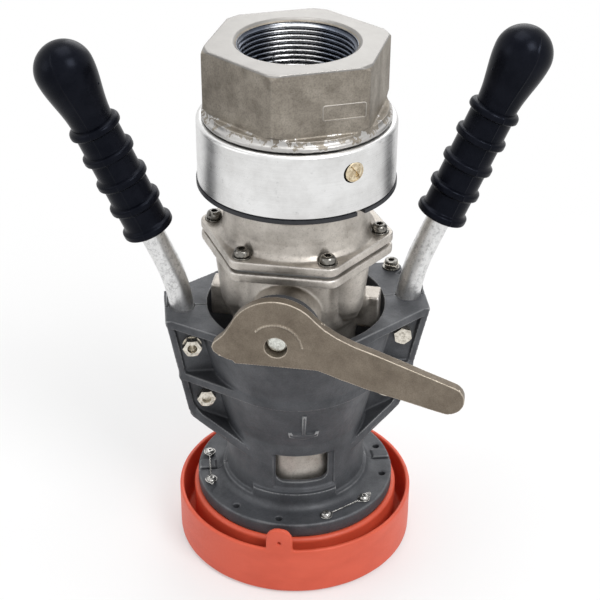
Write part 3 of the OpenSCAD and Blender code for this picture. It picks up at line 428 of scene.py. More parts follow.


# finishes. noises: (scale, detail, roughness, stretch). over: noise and range that lead from dark to light.
# darkened: noise, amount, stops. dabbed: noise, colour, stops. rubbed edges with a painted edge highlight:
# low, high and patch scale. gloss: noise and roughness stops. bumps: noise, distance in millimetres,
# strength.
looks = {
    # bare casting, a little uneven, with rubbed edges that also carry a painted edge highlight
    "castSilver": {
        "metallic": 0.85, "dark": (0.34, 0.31, 0.275), "light": (0.64, 0.60, 0.55),
        "rubbedAndHighlit": (0.82, 0.80, 0.77),
        "noises": {"patches": (60, 7, 0.62), "grain": (900, 3, 0.6)},
        "over": ("patches", 0.32, 0.68), "darkened": [("grain", 0.7, (0.30, 0.62), (0.46, 1.0))],
        "rubAndHighlight": (0.52, 0.6, 60), "gloss": ("patches", (0.3, 0.34), (0.7, 0.52)),
        "bumps": [("patches", 0.5, 0.25), ("grain", 0.12, 0.45)],
    },
    # turned band: lines run round the axis, so their noise only changes along Z
    "brushedBand": {
        "metallic": 1.0, "dark": (0.66, 0.655, 0.645), "light": (0.86, 0.86, 0.855),
        "noises": {"lines": (2600, 3, 0.7, (0.012, 0.012, 1)), "patches": (38, 5, 0.65),
                   "stains": (240, 5, 0.75)},
        "over": ("patches", 0.3, 0.62),
        "darkened": [("stains", 0.5, (0.24, 0.45), (0.40, 1.0)), ("lines", 0.3, (0.3, 0.72), (0.65, 1.0))],
        "gloss": ("lines", (0.3, 0.26), (0.7, 0.36)), "bumps": [("lines", 0.03, 0.5)],
        "sockets": {"Anisotropic": 0.5}, "turnedAbout": "Z",
    },
    # grey coated casting, sanded look with rubbed edges, whose brightness is partly a painted edge highlight
    "darkPaint": {
        "metallic": 0.25, "dark": (0.050, 0.053, 0.060), "light": (0.098, 0.102, 0.112),
        "rubbedAndHighlit": (0.34, 0.345, 0.35), "pits": 420.0,
        "noises": {"patches": (42, 7, 0.62), "grain": (1100, 3, 0.6), "scuffs": (160, 8, 0.8)},
        "over": ("patches", 0.34, 0.66), "darkened": [("grain", 0.45, (0.34, 0.55), (0.6, 1.0))],
        "dabbed": [("scuffs", (0.13, 0.135, 0.145), (0.66, 0.0), (0.72, 0.5))],
        "rubAndHighlight": (0.519, 0.585, 45), "gloss": ("patches", (0.3, 0.62), (0.7, 0.42)),
        "bumps": [("patches", 0.6, 0.2), ("pits", 0.25, 0.3), ("grain", 0.1, 0.5)],
    },
    # brown cast bronze, rubbed bright along its edges, partly as a painted edge highlight
    "leverBronze": {
        "metallic": 0.75, "dark": (0.170, 0.139, 0.106), "light": (0.25, 0.209, 0.163),
        "rubbedAndHighlit": (0.76, 0.68, 0.57),
        "noises": {"patches": (60, 8, 0.68), "grain": (1300, 3, 0.65), "flecks": (700, 6, 0.85)},
        "over": ("patches", 0.32, 0.66), "darkened": [("grain", 0.5, (0.32, 0.5), (0.6, 1.0))],
        "dabbed": [("flecks", (0.42, 0.36, 0.29), (0.66, 0.0), (0.74, 0.7))],
        "rubAndHighlight": (0.515, 0.575, 70), "gloss": ("patches", (0.3, 0.52), (0.7, 0.38)),
        "bumps": [("patches", 0.35, 0.2), ("grain", 0.12, 0.5)],
    },
    # drawn bar: long scratches and a scuffed, dappled skin
    "drawnRod": {
        "metallic": 0.9, "dark": (0.42, 0.42, 0.42), "light": (0.80, 0.80, 0.795),
        "noises": {"scratches": (900, 4, 0.75, (1, 1, 0.05)), "dapple": (330, 7, 0.8)},
        "over": ("dapple", 0.33, 0.52), "darkened": [("scratches", 0.35, (0.3, 0.6), (0.6, 1.0))],
        "gloss": ("dapple", (0.35, 0.42), (0.6, 0.28)),
        "bumps": [("scratches", 0.05, 0.5), ("dapple", 0.05, 0.3)],
    },
    # moulded rubber with a soft, slightly blue sheen
    "gripRubber": {
        "metallic": 0.0, "dark": (0.0022, 0.0026, 0.0046), "light": (0.0060, 0.0066, 0.0100),
        "noises": {"patches": (80, 6, 0.6), "skin": (1500, 3, 0.6)}, "over": ("patches", 0.35, 0.7),
        "gloss": ("patches", (0.35, 0.24), (0.7, 0.34)),
        "bumps": [("patches", 0.25, 0.15), ("skin", 0.06, 0.4)],
        "sockets": {"Specular IOR Level": 0.085, "Specular Tint": (0.68, 0.76, 1.0, 1)},
    },
    "sealRubber": {
        "metallic": 0.0, "dark": (0.006, 0.007, 0.010), "light": (0.018, 0.019, 0.024),
        "noises": {"patches": (260, 5, 0.6)}, "over": ("patches", 0.35, 0.7),
        "gloss": ("patches", (0.3, 0.42), (0.7, 0.6)), "bumps": [("patches", 0.08, 0.4)],
    },
    # soft moulded plastic with faint flow marks and paler scuffs
    "redPlastic": {
        "metallic": 0.0, "dark": (0.66, 0.088, 0.040), "light": (0.74, 0.110, 0.054),
        "noises": {"flow": (26, 5, 0.55, (1, 1, 2.5)), "skin": (900, 3, 0.6), "scuffs": (210, 8, 0.82)},
        "over": ("flow", 0.3, 0.6), "dabbed": [("scuffs", (0.86, 0.36, 0.27), (0.67, 0.0), (0.76, 0.55))],
        "gloss": ("skin", (0.3, 0.40), (0.7, 0.55)), "bumps": [("flow", 0.2, 0.08), ("skin", 0.05, 0.35)],
    },
}
plating = {  # metals of small parts: (dark, light, roughness where dark and where light)
    "platedSteel": ((0.34, 0.31, 0.26), (0.74, 0.70, 0.62), 0.38, 0.2),
    "screwSteel": ((0.05, 0.047, 0.043), (0.25, 0.24, 0.22), 0.36, 0.2),
    "noseSteel": ((0.10, 0.098, 0.094), (0.52, 0.51, 0.49), 0.3, 0.16),
    "bearingSteel": ((0.42, 0.42, 0.38), (0.72, 0.73, 0.68), 0.3, 0.18),
    "bushBronze": ((0.36, 0.25, 0.12), (0.66, 0.49, 0.27), 0.4, 0.25),
    "plugBrass": ((0.34, 0.25, 0.14), (0.80, 0.69, 0.50), 0.36, 0.22),
}
for name, (dark, light, dull, bright) in plating.items():
    looks[name] = {
        "metallic": 1.0, "dark": dark, "light": light, "over": ("stains", 0.34, 0.56),
        "noises": {"stains": (420, 6, 0.7), "fine": (2600, 2, 0.6)},
        "gloss": ("stains", (0.35, dull), (0.65, bright)), "bumps": [("fine", 0.03, 0.4)],
    }

hexLook = {
    "metallic": 0.8, "dark": (0.235, 0.207, 0.172), "light": (0.37, 0.335, 0.285), "over": (0.34, 0.64),
    "faced": (0.275, 0.265, 0.252), "cut": (0.50, 0.49, 0.475), "rubbedAndHighlit": (0.60, 0.58, 0.55),
    "patches": (60, 7, 0.65), "grain": (1000, 3, 0.65), "jagged": (150, 4, 0.75, (1, 1, 0.55)),
    "grained": (0.6, (0.32, 0.55), (0.56, 1.0)), "patched": (0.35, (0.34, 0.75), (0.6, 1.0)),
    "rubAndHighlight": (0.53, 0.6, 50), "gloss": [(0.0, 0.56), (1.0, 0.36)], "bumps": ((0.4, 0.25), (0.12, 0.5)),
    "topFrom": 1.4, "topTo": 1.1,  # depth below the top where the faced skin begins and is whole
    "jags": (0.38, 0.62), "neckFrom": 1.6, "neckTo": 8.2,  # range of the ragged cut above the band
}


def hexAlloy():
    # cast flats that are faced on top and cut back in ragged patches at the neck
    look = hexLook
    material, tree, shader, place = startMaterial("hexAlloy", look["metallic"])
    height = addNode(tree, "SeparateXYZ", {0: place}).outputs[2]
    patches, grain, jagged = [grainNode(tree, place, *look[key]) for key in ("patches", "grain", "jagged")]
    tone = rampNode(tree, patches, zip(look["over"], (look["dark"], look["light"])))
    tone = darkenNode(tree, tone, grain, *look["grained"])
    top = rangeNode(tree, height, (hexTop - look["topFrom"]) * mm, (hexTop - look["topTo"]) * mm)
    cutLine = rangeNode(tree, jagged, *look["jags"], (bandTop + look["neckFrom"]) * mm,
                        (bandTop + look["neckTo"]) * mm)
    neck = mathNode(tree, "LESS_THAN", height, cutLine)
    tone = mixNode(tree, neck, tone, look["cut"])
    tone = mixNode(tree, top, tone, look["faced"])
    tone = darkenNode(tree, tone, patches, *look["patched"])
    # rubbed edges and a painted highlight along the bevels, laid over the faced top
    tone = mixNode(tree, rubAndHighlightNode(tree, place, *look["rubAndHighlight"]), tone, look["rubbedAndHighlit"])
    gloss = rampNode(tree, mathNode(tree, "MAXIMUM", top, neck), look["gloss"])
    surface(tree, shader, tone, gloss, [(n, *b) for n, b in zip((patches, grain), look["bumps"])])
    return material


threadLook = {
    # root is the colour of the painted shade deep in the thread, crest that of its bright tops
    "root": (0.30, 0.31, 0.33), "crest": (0.86, 0.86, 0.86), "radii": (34.3, 36.1), "over": (0.15, 0.75),
    "grime": (300, 5, 0.7), "grimed": (0.4, (0.3, 0.55), (0.6, 1.0)), "gloss": [(0.3, 0.2), (0.7, 0.36)],
    "paintedDarkSides": (0.22, 0.245, 0.30), "paintedDarkSideSpans": ((-4, -20), (10, 22)),  # painted dark reflections on both sides
}


def cutThread():
    # bright crests and dark roots: painted shade that deepens towards the roots, and painted dark reflections
    # on both sides
    look = threadLook
    material, tree, shader, place = startMaterial("cutThread", 1.0)
    flat = addNode(tree, "VectorMath", {0: place, 1: (1, 1, 0)}, operation="MULTIPLY").outputs[0]
    radius = addNode(tree, "VectorMath", {0: flat}, operation="LENGTH").outputs["Value"]
    depth = rangeNode(tree, radius, *[r * mm for r in look["radii"]])
    grime = grainNode(tree, place, *look["grime"])
    # painted shade: darker towards the roots of the thread
    tone = rampNode(tree, depth, zip(look["over"], (look["crest"], look["root"])))
    tone = darkenNode(tree, tone, grime, *look["grimed"])
    # painted dark reflections, darkening the thread towards both sides
    across = addNode(tree, "SeparateXYZ", {0: place}).outputs[0]
    sides = [rangeNode(tree, across, a * mm, b * mm, kind="SMOOTHSTEP") for a, b in look["paintedDarkSideSpans"]]
    paintedDarkSides = mathNode(tree, "MAXIMUM", *sides)
    tone = mixNode(tree, paintedDarkSides, tone, mixNode(tree, 1.0, tone, look["paintedDarkSides"], "MULTIPLY"))
    surface(tree, shader, tone, rampNode(tree, grime, look["gloss"]))
    return material


finishes = {name: makeFinish(name, look) for name, look in looks.items()}
finishes["hexAlloy"] = hexAlloy()
finishes["cutThread"] = cutThread()
print("finishes made")

# every CAD node gets its finish first; the ones that a finer piece replaces aren't shown
nodeFinish = {
    "castSilver": ("outlet_casting", "valve_body", "poppet_guide", "poppet_head"), "hexAlloy": ("inlet_hex",),
    "brushedBand": ("race_band",), "leverBronze": ("flow_lever",), "plugBrass": ("race_plug",),
    "darkPaint": ("collar_front", "collar_rear", "nose_ring", "shaft_gland", "flange_gasket"),
    "bushBronze": ("shaft_bush", "crank_roller", "collar_bearing"), "redPlastic": ("dust_cap",),
    "bearingSteel": ("swivel_balls", "lever_shaft", "lever_pin", "crank_arm", "poppet_stem", "poppet_yoke"),
    "platedSteel": ("flange_screws", "nose_screws", "lock_wires", "wing_bolts", "wing_nuts", "deck_screw"),
    "drawnRod": ("rod_left", "rod_right"), "gripRubber": ("grip_left", "grip_right"),
    "sealRubber": ("swivel_seal", "dust_seal", "shaft_packing", "nose_seal", "poppet_seal"),
}
for finish, members in nodeFinish.items():
    for member in members:
        mesh = nodes[member].data
        mesh.materials.clear()
        mesh.materials.append(finishes[finish])
print("CAD nodes finished")

# camera
cameraPlace = {"position": (-0.0903, -0.8292, 0.6836), "heading": (0.1115, 0.9938), "pitch": 30.995,
               "lens": 88.42, "sensor": 36, "roll": 0.42}
c = cameraPlace
camera = addObject("camera", bpy.data.cameras.new("camera"))
camera.data.lens = c["lens"]
camera.data.sensor_width = c["sensor"]
dip = radians(c["pitch"])
headX, headY = c["heading"]
look = Vector((headX * cos(dip), headY * cos(dip), -sin(dip)))
turn = look.to_track_quat("-Z", "Y").to_matrix().to_4x4()
camera.matrix_world = Matrix.Translation(c["position"]) @ turn @ turned(c["roll"])
bpy.context.scene.camera = camera

# floor and studio light
studio = {
    "floorSize": 8.0, "floorFade": (0.16, 0.6), "floorDrop": 0.4,  # in metres, the drop in millimetres
    "floorTone": (0.86, 0.86, 0.86),
    "floorGlow": 0.4, "worldAbove": 0.62, "worldSide": 0.36, "worldFront": 0.12,
    "rise": (0.0, 0.9), "front": (-0.2, -0.9), "low": (0.55, 0.15),  # where the sky's levels change over
    "aim": (0, 0, 0.18), "lamps": {  # name: (position, size in metres, power in watts)
        "keyLamp": ((0.75, -1.15, 1.65), 0.8, 19), "topLamp": ((-0.1, 0.2, 2.1), 1.2, 14),
        "leftLamp": ((-1.7, -0.35, 0.9), 0.8, 3), "backLamp": ((0.5, 1.7, 1.2), 1.2, 8),
    },
}
white = (1, 1, 1, 1)
s = studio


def seenRays(tree):
    # 1 for the camera's rays and those that a mirror or a glass sends on
    light = addNode(tree, "LightPath").outputs
    return mathNode(tree, "MAXIMUM", light["Is Camera Ray"], mathNode(
        tree, "MAXIMUM", light["Is Glossy Ray"], light["Is Transmission Ray"]))


bm = bmesh.new()
bmesh.ops.create_grid(bm, x_segments=1, y_segments=1, size=s["floorSize"] / 2)
floor = addObject("floor", meshFrom(bm, "floor"))
floor.location.z = -s["floorDrop"] * mm
material, tree, shader, place = startMaterial("floorPaper")
tree.nodes.remove(shader)
paper = addNode(tree, "BsdfDiffuse", {"Color": (*s["floorTone"], 1)})
glow = addNode(tree, "Emission", {"Color": white, "Strength": 1.0})
distance = addNode(tree, "VectorMath", {0: place}, operation="LENGTH").outputs["Value"]
fade = rangeNode(tree, distance, *s["floorFade"], s["floorGlow"], kind="SMOOTHSTEP")
shown = mathNode(tree, "MULTIPLY", fade, seenRays(tree))
mixed = addNode(tree, "MixShader", {0: shown, 1: paper.outputs[0], 2: glow.outputs[0]})
tree.links.new(mixed.outputs[0], tree.nodes["Material Output"].inputs["Surface"])
floor.data.materials.append(material)

world = bpy.data.worlds.new("studio")
bpy.context.scene.world = world
world.use_nodes = True
tree = world.node_tree
tree.nodes.clear()
direction = addNode(tree, "TexCoord").outputs["Generated"]
x, y, z = addNode(tree, "SeparateXYZ", {0: direction}).outputs
upward = rangeNode(tree, z, *s["rise"], s["worldSide"], s["worldAbove"])
toFront = rangeNode(tree, y, *s["front"], 1.0, s["worldFront"] / s["worldSide"])
lowness = rangeNode(tree, z, *s["low"])
frontShade = mathNode(tree, "SUBTRACT", 1.0, mathNode(
    tree, "MULTIPLY", mathNode(tree, "SUBTRACT", 1.0, toFront), lowness))
level = mathNode(tree, "MULTIPLY", upward, frontShade)
strength = addNode(tree, "Mix", {0: seenRays(tree), 2: level, 3: 1.0}, data_type="FLOAT").outputs[0]
sky = addNode(tree, "Background", {"Color": white, "Strength": strength})
tree.links.new(sky.outputs[0], addNode(tree, "OutputWorld").inputs["Surface"])

for name, (position, size, power) in s["lamps"].items():
    lamp = addObject(name, bpy.data.lights.new(name, "AREA"))
    lamp.data.size = size
    lamp.data.energy = power
    lamp.location = position
    aim = Vector(s["aim"]) - Vector(position)
    lamp.rotation_euler = aim.to_track_quat("-Z", "Y").to_euler()
bpy.context.scene.view_settings.view_transform = "Standard"
print("camera, floor and lamps set")

# foot, window, window frame, open holes and lower ribs of the collar, in millimetres and degrees
collarShape = {
    "barrel": 47.5, "flangeTop": 47.8, "footStep": 3.0, "footFillet": 5.0, "footHigh": 5.8, "footCrown": 0.8,
    "sunk": 1.5, "steps": 180, "block": {"left": -32.5, "right": 23.3, "high": 11.7},
    "window": {"wide": 35.0, "low": 67.0, "high": 89.0, "corner": 5.0, "cut": (-60, -36)},
    "frame": {"left": -19.3, "right": 21.8, "below": 5.5, "deep": 1.4, "clear": 6},
    "holes": {"first": -76.2, "pitch": 30, "open": (2, 3, 6, 7, 10, 11), "circle": 61.7, "radius": 2.3,
              "deep": 9.0, "edge": 0.5, "over": 0.3, "steps": 32},
    "rootZ": 87.5, "rise": 0.4955, "ribHigh": 8.0, "ribTip": (69.46, 5.0, 3.0), "ribInset": 0.4,
    "ribGap": 0.3, "ribSunk": 2, "ribCuts": 8,
    "cutter": {"foot": 56, "footTop": 52, "out": 95, "top": 99.4, "tip": 70.46, "edge": 66.46, "root": 49.3,
               "rootTop": 91, "off": 0.02, "sunk": 0.05},
}


def wingLow(x):
    # lower edge of a wing
    return collarShape["rootZ"] + collarShape["rise"] * (abs(x) - collarShape["barrel"] - 1)


def collarCutter():
    # clears the outside of the barrel, from the flange up to the lower edges of the wings
    c = collarShape["cutter"]
    b, top = collarShape["barrel"] + c["off"], collarShape["flangeTop"] - c["sunk"]
    outline = [(b, top), (c["foot"], top), (c["foot"], c["footTop"]), (c["out"], c["footTop"]),
               (c["out"], c["top"]), (c["tip"], c["top"]), (c["edge"], wingLow(c["edge"])),
               (c["root"], wingLow(c["root"])), (c["root"], c["rootTop"]), (b, c["rootTop"])]
    bm = bmesh.new()
    latheInto(bm, outline, steps=collarShape["steps"])
    return shapeMesh(bm)


def footMesh(side):
    # step and fillet between the barrel and the flange
    s = collarShape
    b, top, step, fillet = s["barrel"], s["flangeTop"], s["footStep"], s["footFillet"]
    outline = [(b - s["sunk"], top - 1), (b + step + fillet, top - 1)]
    for a in quarter(0):
        outline.append((b + step + fillet * (1 - sin(a)), top + fillet * (1 - cos(a))))
    outline += [(b + step - s["footCrown"], top + s["footHigh"]), (b - s["sunk"], top + s["footHigh"])]
    bm = bmesh.new()
    latheInto(bm, outline, steps=s["steps"])
    return shapeMesh(bm, side)


def ribMesh(side, hand):
    # lower rib of one wing: leaves the barrel along a tangent and runs to the tip
    s = collarShape
    tipX, tipY, tipR = s["ribTip"]
    big = s["barrel"] - s["ribInset"]
    tilt = atan2(tipY, tipX) + acos((big - tipR) / hypot(tipX, tipY))
    inner = big - s["ribSunk"]
    plan = [(big * cos(tilt), big * sin(tilt)), (tipX + tipR * cos(tilt), tipY + tipR * sin(tilt)),
            (tipX + tipR, tipY), (tipX + tipR, s["ribGap"]), (inner, s["ribGap"])]
    arc = [tilt * k / s["ribCuts"] for k in range(1, s["ribCuts"] + 1)]
    plan += [(inner * cos(a), inner * sin(a)) for a in arc]
    bm = bmesh.new()
    prismInto(bm, [(hand * x, side * y) for x, y in plan], wingLow, lambda x: wingLow(x) + s["ribHigh"])
    return shapeMesh(bm)


def openHoles(side):
    # the screw holes that no screw fills
    h = collarShape["holes"]
    r, over = h["radius"], h["over"]
    outline = [(0, -h["deep"]), (r, -h["deep"]), (r, -h["edge"]), (r + over, over), (0, over)]
    bm = bmesh.new()
    for k in h["open"]:
        a = h["first"] + h["pitch"] * k
        if side * sin(radians(a)) > 0:
            latheInto(bm, outline, turned(a, h["circle"], collarShape["flangeTop"]), h["steps"])
    return shapeMesh(bm)


def frontCutters():
    # the outside, the frame of the window, the window and the open holes
    s, window, frame = collarShape, collarShape["window"], collarShape["frame"]
    sunk = bmesh.new()
    plan = arcPlan(s["barrel"] - frame["deep"], s["barrel"] + frame["clear"], frame["left"], frame["right"])
    prismInto(sunk, plan, window["low"] - frame["below"], window["high"])
    half, low, corner = window["wide"] / 2, window["low"], window["corner"]
    loop = []
    for x, first in ((half - corner, -90), (corner - half, 180)):
        loop.append([(x + corner * cos(a), low + corner + corner * sin(a)) for a in quarter(first)])
    outline = loop[0] + [(half, window["high"]), (-half, window["high"])] + loop[1]
    hole = bmesh.new()
    rings = [[hole.verts.new((x * mm, y * mm, z * mm)) for x, z in outline] for y in window["cut"]]
    hole.faces.new(rings[0])
    hole.faces.new(rings[1])
    bridge(hole, *rings)
    return [collarCutter(), shapeMesh(sunk), shapeMesh(hole), openHoles(-1)]


def blockMesh():
    # block on the foot under the window
    s, block = collarShape, collarShape["block"]
    plan = arcPlan(s["barrel"] - s["sunk"], s["barrel"] + s["footStep"], block["left"], block["right"])
    bm = bmesh.new()
    prismInto(bm, plan, s["flangeTop"] - 1, s["flangeTop"] + block["high"])
    return shapeMesh(bm)


reshaped = {
    "collar_front": {"cutters": frontCutters(),
                     "added": [footMesh(-1), blockMesh(), ribMesh(-1, 1), ribMesh(-1, -1)]},
    "collar_rear": {"cutters": [collarCutter(), openHoles(1)],
                    "added": [footMesh(1), ribMesh(1, 1), ribMesh(1, -1)]},
}

# round swellings beside the lever's boss, which narrow towards their feet
swelling = {"turn": 63, "out": 38, "reach": 17.6, "barrel": 42, "blend": 4, "top": 220, "foot": 184,
            "narrow": 0.25, "lift": 6, "lugSide": -8}


def narrowSwellings(mesh):
    s = swelling
    turnBody, turnBack = turned(bodyTurn).to_3x3(), turned(-bodyTurn).to_3x3()
    for v in mesh.vertices:
        at = (turnBack @ v.co) / mm
        share = min(max((s["top"] - at.z) / (s["top"] - s["foot"]), 0), 1)
        share *= min(max((hypot(at.x, at.y) - s["barrel"]) / s["blend"], 0), 1)
        share *= min(max((s["lugSide"] - at.y) / s["blend"], 0), 1)
        if not share:
            continue
        for side in (-1, 1):
            a = radians(side * s["turn"])
            centre = Vector((s["out"] * sin(a), -s["out"] * cos(a), at.z))
            if (at - centre).length < s["reach"]:
                moved = at.lerp(centre, s["narrow"] * share)
                moved.z += s["lift"] * share ** 3
                v.co = turnBody @ moved * mm
    mesh.update()


# castings: skins with rounded edges over the CAD solids
castings = {  # piece: (node, body, slot, finish, grain, softening rounds, waviness)
    "hexCasting": ("inlet_hex", "inlet", "cast_aluminium", "hexAlloy", 0.6, 2, 0.06),
    "outletSkin": ("outlet_casting", "valve", "cast_aluminium", "castSilver", 0.7, 4, 0.12),
    "bodySkin": ("valve_body", "valve", "cast_aluminium", "castSilver", 0.9, 5, 0.15),
    "frontCollarSkin": ("collar_front", "collar", "dark_casting", "darkPaint", 0.7, 3, 0.12),
    "rearCollarSkin": ("collar_rear", "collar", "dark_casting", "darkPaint", 0.75, 3, 0.12),
    "leverSkin": ("flow_lever", "lever", "lever_bronze", "leverBronze", 0.45, 3, 0.08),
    "glandSkin": ("shaft_gland", "valve", "dark_casting", "darkPaint", 0.6, 4, 0.05),
    "capSkin": ("dust_cap", "cap", "cap_plastic", "redPlastic", 0.9, 3, 0.10),
}
for name, (node, body, slot, finish, grain, soften, waves) in castings.items():
    piece = softCopy(name, node, grain, soften, waves, **reshaped.get(node, {}))
    if node == "valve_body":
        narrowSwellings(piece.data)
    dress(piece, body, slot, finish, [node])

# arrow on the front of the collar, pointing down to the window; its shape is half an outline
arrow = {"foot": 106.8, "out": 1.7, "edge": 0.4, "sunk": 1.0, "inset": 0.35, "taperFrom": 98.0,
         "taper": 0.234, "lowSide": 1, "highSide": 4,
         "shape": ((0, -1.4), (9.4, 0.7), (10.2, 4.8), (8, 5.1), (7.3, 3.2), (1.3, 3.2), (1.3, 20.5))}
w = arrow
outline = [*w["shape"], *[(-x, z) for x, z in reversed(w["shape"][1:])]]
bm = bmesh.new()
loops = []
for out, inset in ((-w["sunk"], 0), (w["out"] - w["edge"], 0), (w["out"], w["inset"])):
    loop = []
    for x, z in outline:
        x -= inset * ((x > 0) - (x < 0))
        z += w["foot"] + inset * ((z < w["lowSide"]) - (z > w["highSide"]))
        r = collarShape["barrel"] + w["taper"] * (z - w["taperFrom"]) + out
        loop.append(bm.verts.new((x * mm, -(r ** 2 - x ** 2) ** 0.5 * mm, z * mm)))
    loops.append(loop)
bm.faces.new(loops[0])
bmesh.ops.triangulate(bm, faces=[bm.faces.new(loops[-1])])
for here, there in zip(loops, loops[1:]):
    bridge(bm, here, there)
dressMesh("collarArrow", bm, 40, "collar", "dark_casting", "darkPaint")
print("castings skinned")

# inlet thread
inletThread = {"pitch": 3.175, "root": 36.3, "crestHigh": 34.5, "crestLow": 33.7, "start": 2.0, "end": 34.0,
               "wall": 37.4, "cuts": 10, "steps": 144, "flat": 0.14, "flank": 0.72, "fade": 2}


def threadRadius(a, down):
    # radius of the thread at angle a, so far down from the mouth
    t = inletThread
    turnPart = (down / t["pitch"] + a / (2 * pi)) % 1
    tooth = min(1, max(0, (1 - abs(2 * turnPart - 1) - t["flat"]) / t["flank"]))
    fade = min(1, (down - t["start"]) / t["fade"])
    part = (down - t["start"]) / (t["end"] - t["start"])
    crest = t["crestHigh"] + (t["crestLow"] - t["crestHigh"]) * part
    return t["root"] - (t["root"] - crest) * tooth * fade


t = inletThread
rows = int((t["end"] - t["start"]) / t["pitch"] * t["cuts"])
downs = [t["start"] + k * t["pitch"] / t["cuts"] for k in range(rows + 1)]
rings = [lambda a, down=down: (threadRadius(a, down), hexTop - down) for down in downs]
rings = [lambda a: (t["wall"], hexTop - downs[0])] + rings
rings.append(lambda a: (t["wall"], hexTop - downs[-1]))
bm = bmesh.new()
stackInto(bm, rings, Matrix(), t["steps"], closedEnds=False)
dressMesh("inletThread", bm, 60, "inlet", "cast_aluminium", "cutThread")

# raised frame on the front flat of the hexagon, where a number would stand
numberFrame = {"normal": -80.55, "out": 51.15, "left": 1.4, "right": 27.3, "low": 333.0, "high": 342.0,
               "wire": 0.55, "corner": 1.2, "cuts": 4}


def frameLoop():
    # loop with rounded corners on the flat
    f = numberFrame
    loop = []
    corners = (("right", "low", -90), ("right", "high", 0), ("left", "high", 90), ("left", "low", 180))
    for x, z, first in corners:
        inX = f[x] + f["corner"] * (-1 if x == "right" else 1)
        inZ = f[z] + f["corner"] * (-1 if z == "high" else 1)
        for a in quarter(first, f["cuts"]):
            loop.append(Vector((f["out"], inX + f["corner"] * cos(a), inZ + f["corner"] * sin(a))))
    return loop


flat = turned(numberFrame["normal"]).to_3x3()
ring = tubes("numberFrame", [[flat @ at for at in frameLoop()]], numberFrame["wire"], cyclic=True)
dress(ring, "inlet", "cast_aluminium", "hexAlloy")
print("inlet thread and frame made")

# ball plug of the swivel band: raised rim, dished face and screwdriver slot
ballPlug = {"angle": -47.8, "down": 14.2, "radius": 6.35, "face": 62.45, "back": 55.0, "edge": 0.3,
            "bevel": 0.25, "rim": 0.9, "dish": 0.9, "crown": 0.5, "slot": 0.95, "slotDeep": 1.8,
            "slotTurn": 40, "slotEnd": 1.8, "rings": 34, "steps": 96}


def plugFace(x, y):
    p = ballPlug
    away = hypot(x, y)
    if away > p["radius"] - p["rim"]:
        return 0.0
    down = p["dish"] * (1 - p["crown"] * away / p["radius"])
    a = radians(p["slotTurn"])
    if abs(x * sin(a) - y * cos(a)) < p["slot"] and away < p["radius"] - p["slotEnd"]:
        down += p["slotDeep"]
    return -down


bm = bmesh.new()
p = ballPlug
face = p["face"]
rings = [lambda a, z=z: (p["radius"], z) for z in (p["back"], face - p["edge"])]
for k in range(p["rings"]):
    r = (p["radius"] - p["bevel"]) * (1 - k / p["rings"])
    rings.append(lambda a, r=r: (r, face + plugFace(r * cos(a), r * sin(a))))
place = turned(bodyTurn + p["angle"], 0, bandTop - p["down"]) @ Matrix.Rotation(pi / 2, 4, "Y")
stackInto(bm, rings, place, p["steps"])
dressMesh("ballPlug", bm, 30, "valve", "brass_plug", "plugBrass", ["race_plug"])

# flange screws: domed socket heads on washers; the dome is (radius, height) from its foot up
flangeScrew = {
    "count": 6, "circle": 53.5, "stands": 5.4, "washer": 6.2, "washerHigh": 0.9, "washerGap": 0.2,
    "socket": 4.0, "socketDeep": 2.6, "shank": 2.55, "overlap": 0.4, "pitch": 1.0, "threaded": 6, "turn": 17,
    "dome": ((4.4, 0.9), (5.0, 1.4), (5.0, 2.832), (4.75, 3.936), (4.2, 4.764), (3.4, 5.316), (2.6, 5.5)),
}
s = flangeScrew
screwFoot, screwTop = span("flange_screws")
seat = screwTop - s["stands"]
bm = bmesh.new()
for k in range(s["count"]):
    place = turned(bodyTurn + 360 / s["count"] * k, s["circle"], seat)
    washerInto(bm, s["shank"] + s["washerGap"], s["washer"], 0, s["washerHigh"], place)
    socketHeadInto(bm, s["dome"], s["socket"], s["socketDeep"], place @ turned(s["turn"] * k))
    shankInto(bm, s["shank"], screwFoot - seat, s["washerHigh"] + s["overlap"], place, s["pitch"],
              s["threaded"])
dressMesh("flangeScrewSet", bm, 30, "valve", "fastener_steel", "screwSteel", ["flange_screws"])

# nose screws: small domed heads in pairs, wired together
noseScrew = {
    "circle": 61.7, "pairs": 3, "first": -76.2, "apart": 30, "stands": 3.8, "head": 3.5, "socket": 1.7,
    "socketDeep": 1.3, "shank": 1.65, "overlap": 0.4, "pitch": 0.8, "threaded": 6,
    "dome": ((3.2, 0), (3.5, 0.3), (3.5, 1.44), (3.255, 2.376), (2.73, 3.096), (1.96, 3.492), (1.19, 3.6)),
}
s = noseScrew
screwFoot, screwTop = span("nose_screws")
seat = screwTop - s["stands"]
bm = bmesh.new()
screwSpots = []
for k in range(s["pairs"]):
    for j in range(2):
        place = turned(s["first"] + 360 / s["pairs"] * k + s["apart"] * j, s["circle"], seat)
        screwSpots.append(place.translation / mm)
        socketHeadInto(bm, s["dome"], s["socket"], s["socketDeep"], place)
        shankInto(bm, s["shank"], screwFoot - seat, s["overlap"], place, s["pitch"], s["threaded"])
dressMesh("noseScrewSet", bm, 30, "collar", "fastener_steel", "noseSteel", ["nose_screws"])

# lock wires: twisted pairs; up is the height of each pair over the seats of its screws
lockWire = {"radius": 0.32, "spread": 0.34, "pitch": 3.6, "gap": 0.1, "leave": 0.5, "part": 0.4,
            "loopCuts": 8, "minCuts": 8, "shoulder": 1.2, "stretch": 0.5, "up": (0.75, 0.75, 2.1),
            "tail": 4.5, "tailUp": 1.6, "tailGap": 0.8, "tailWide": 0.45, "tailCuts": 16, "curl": 1.5 * pi}


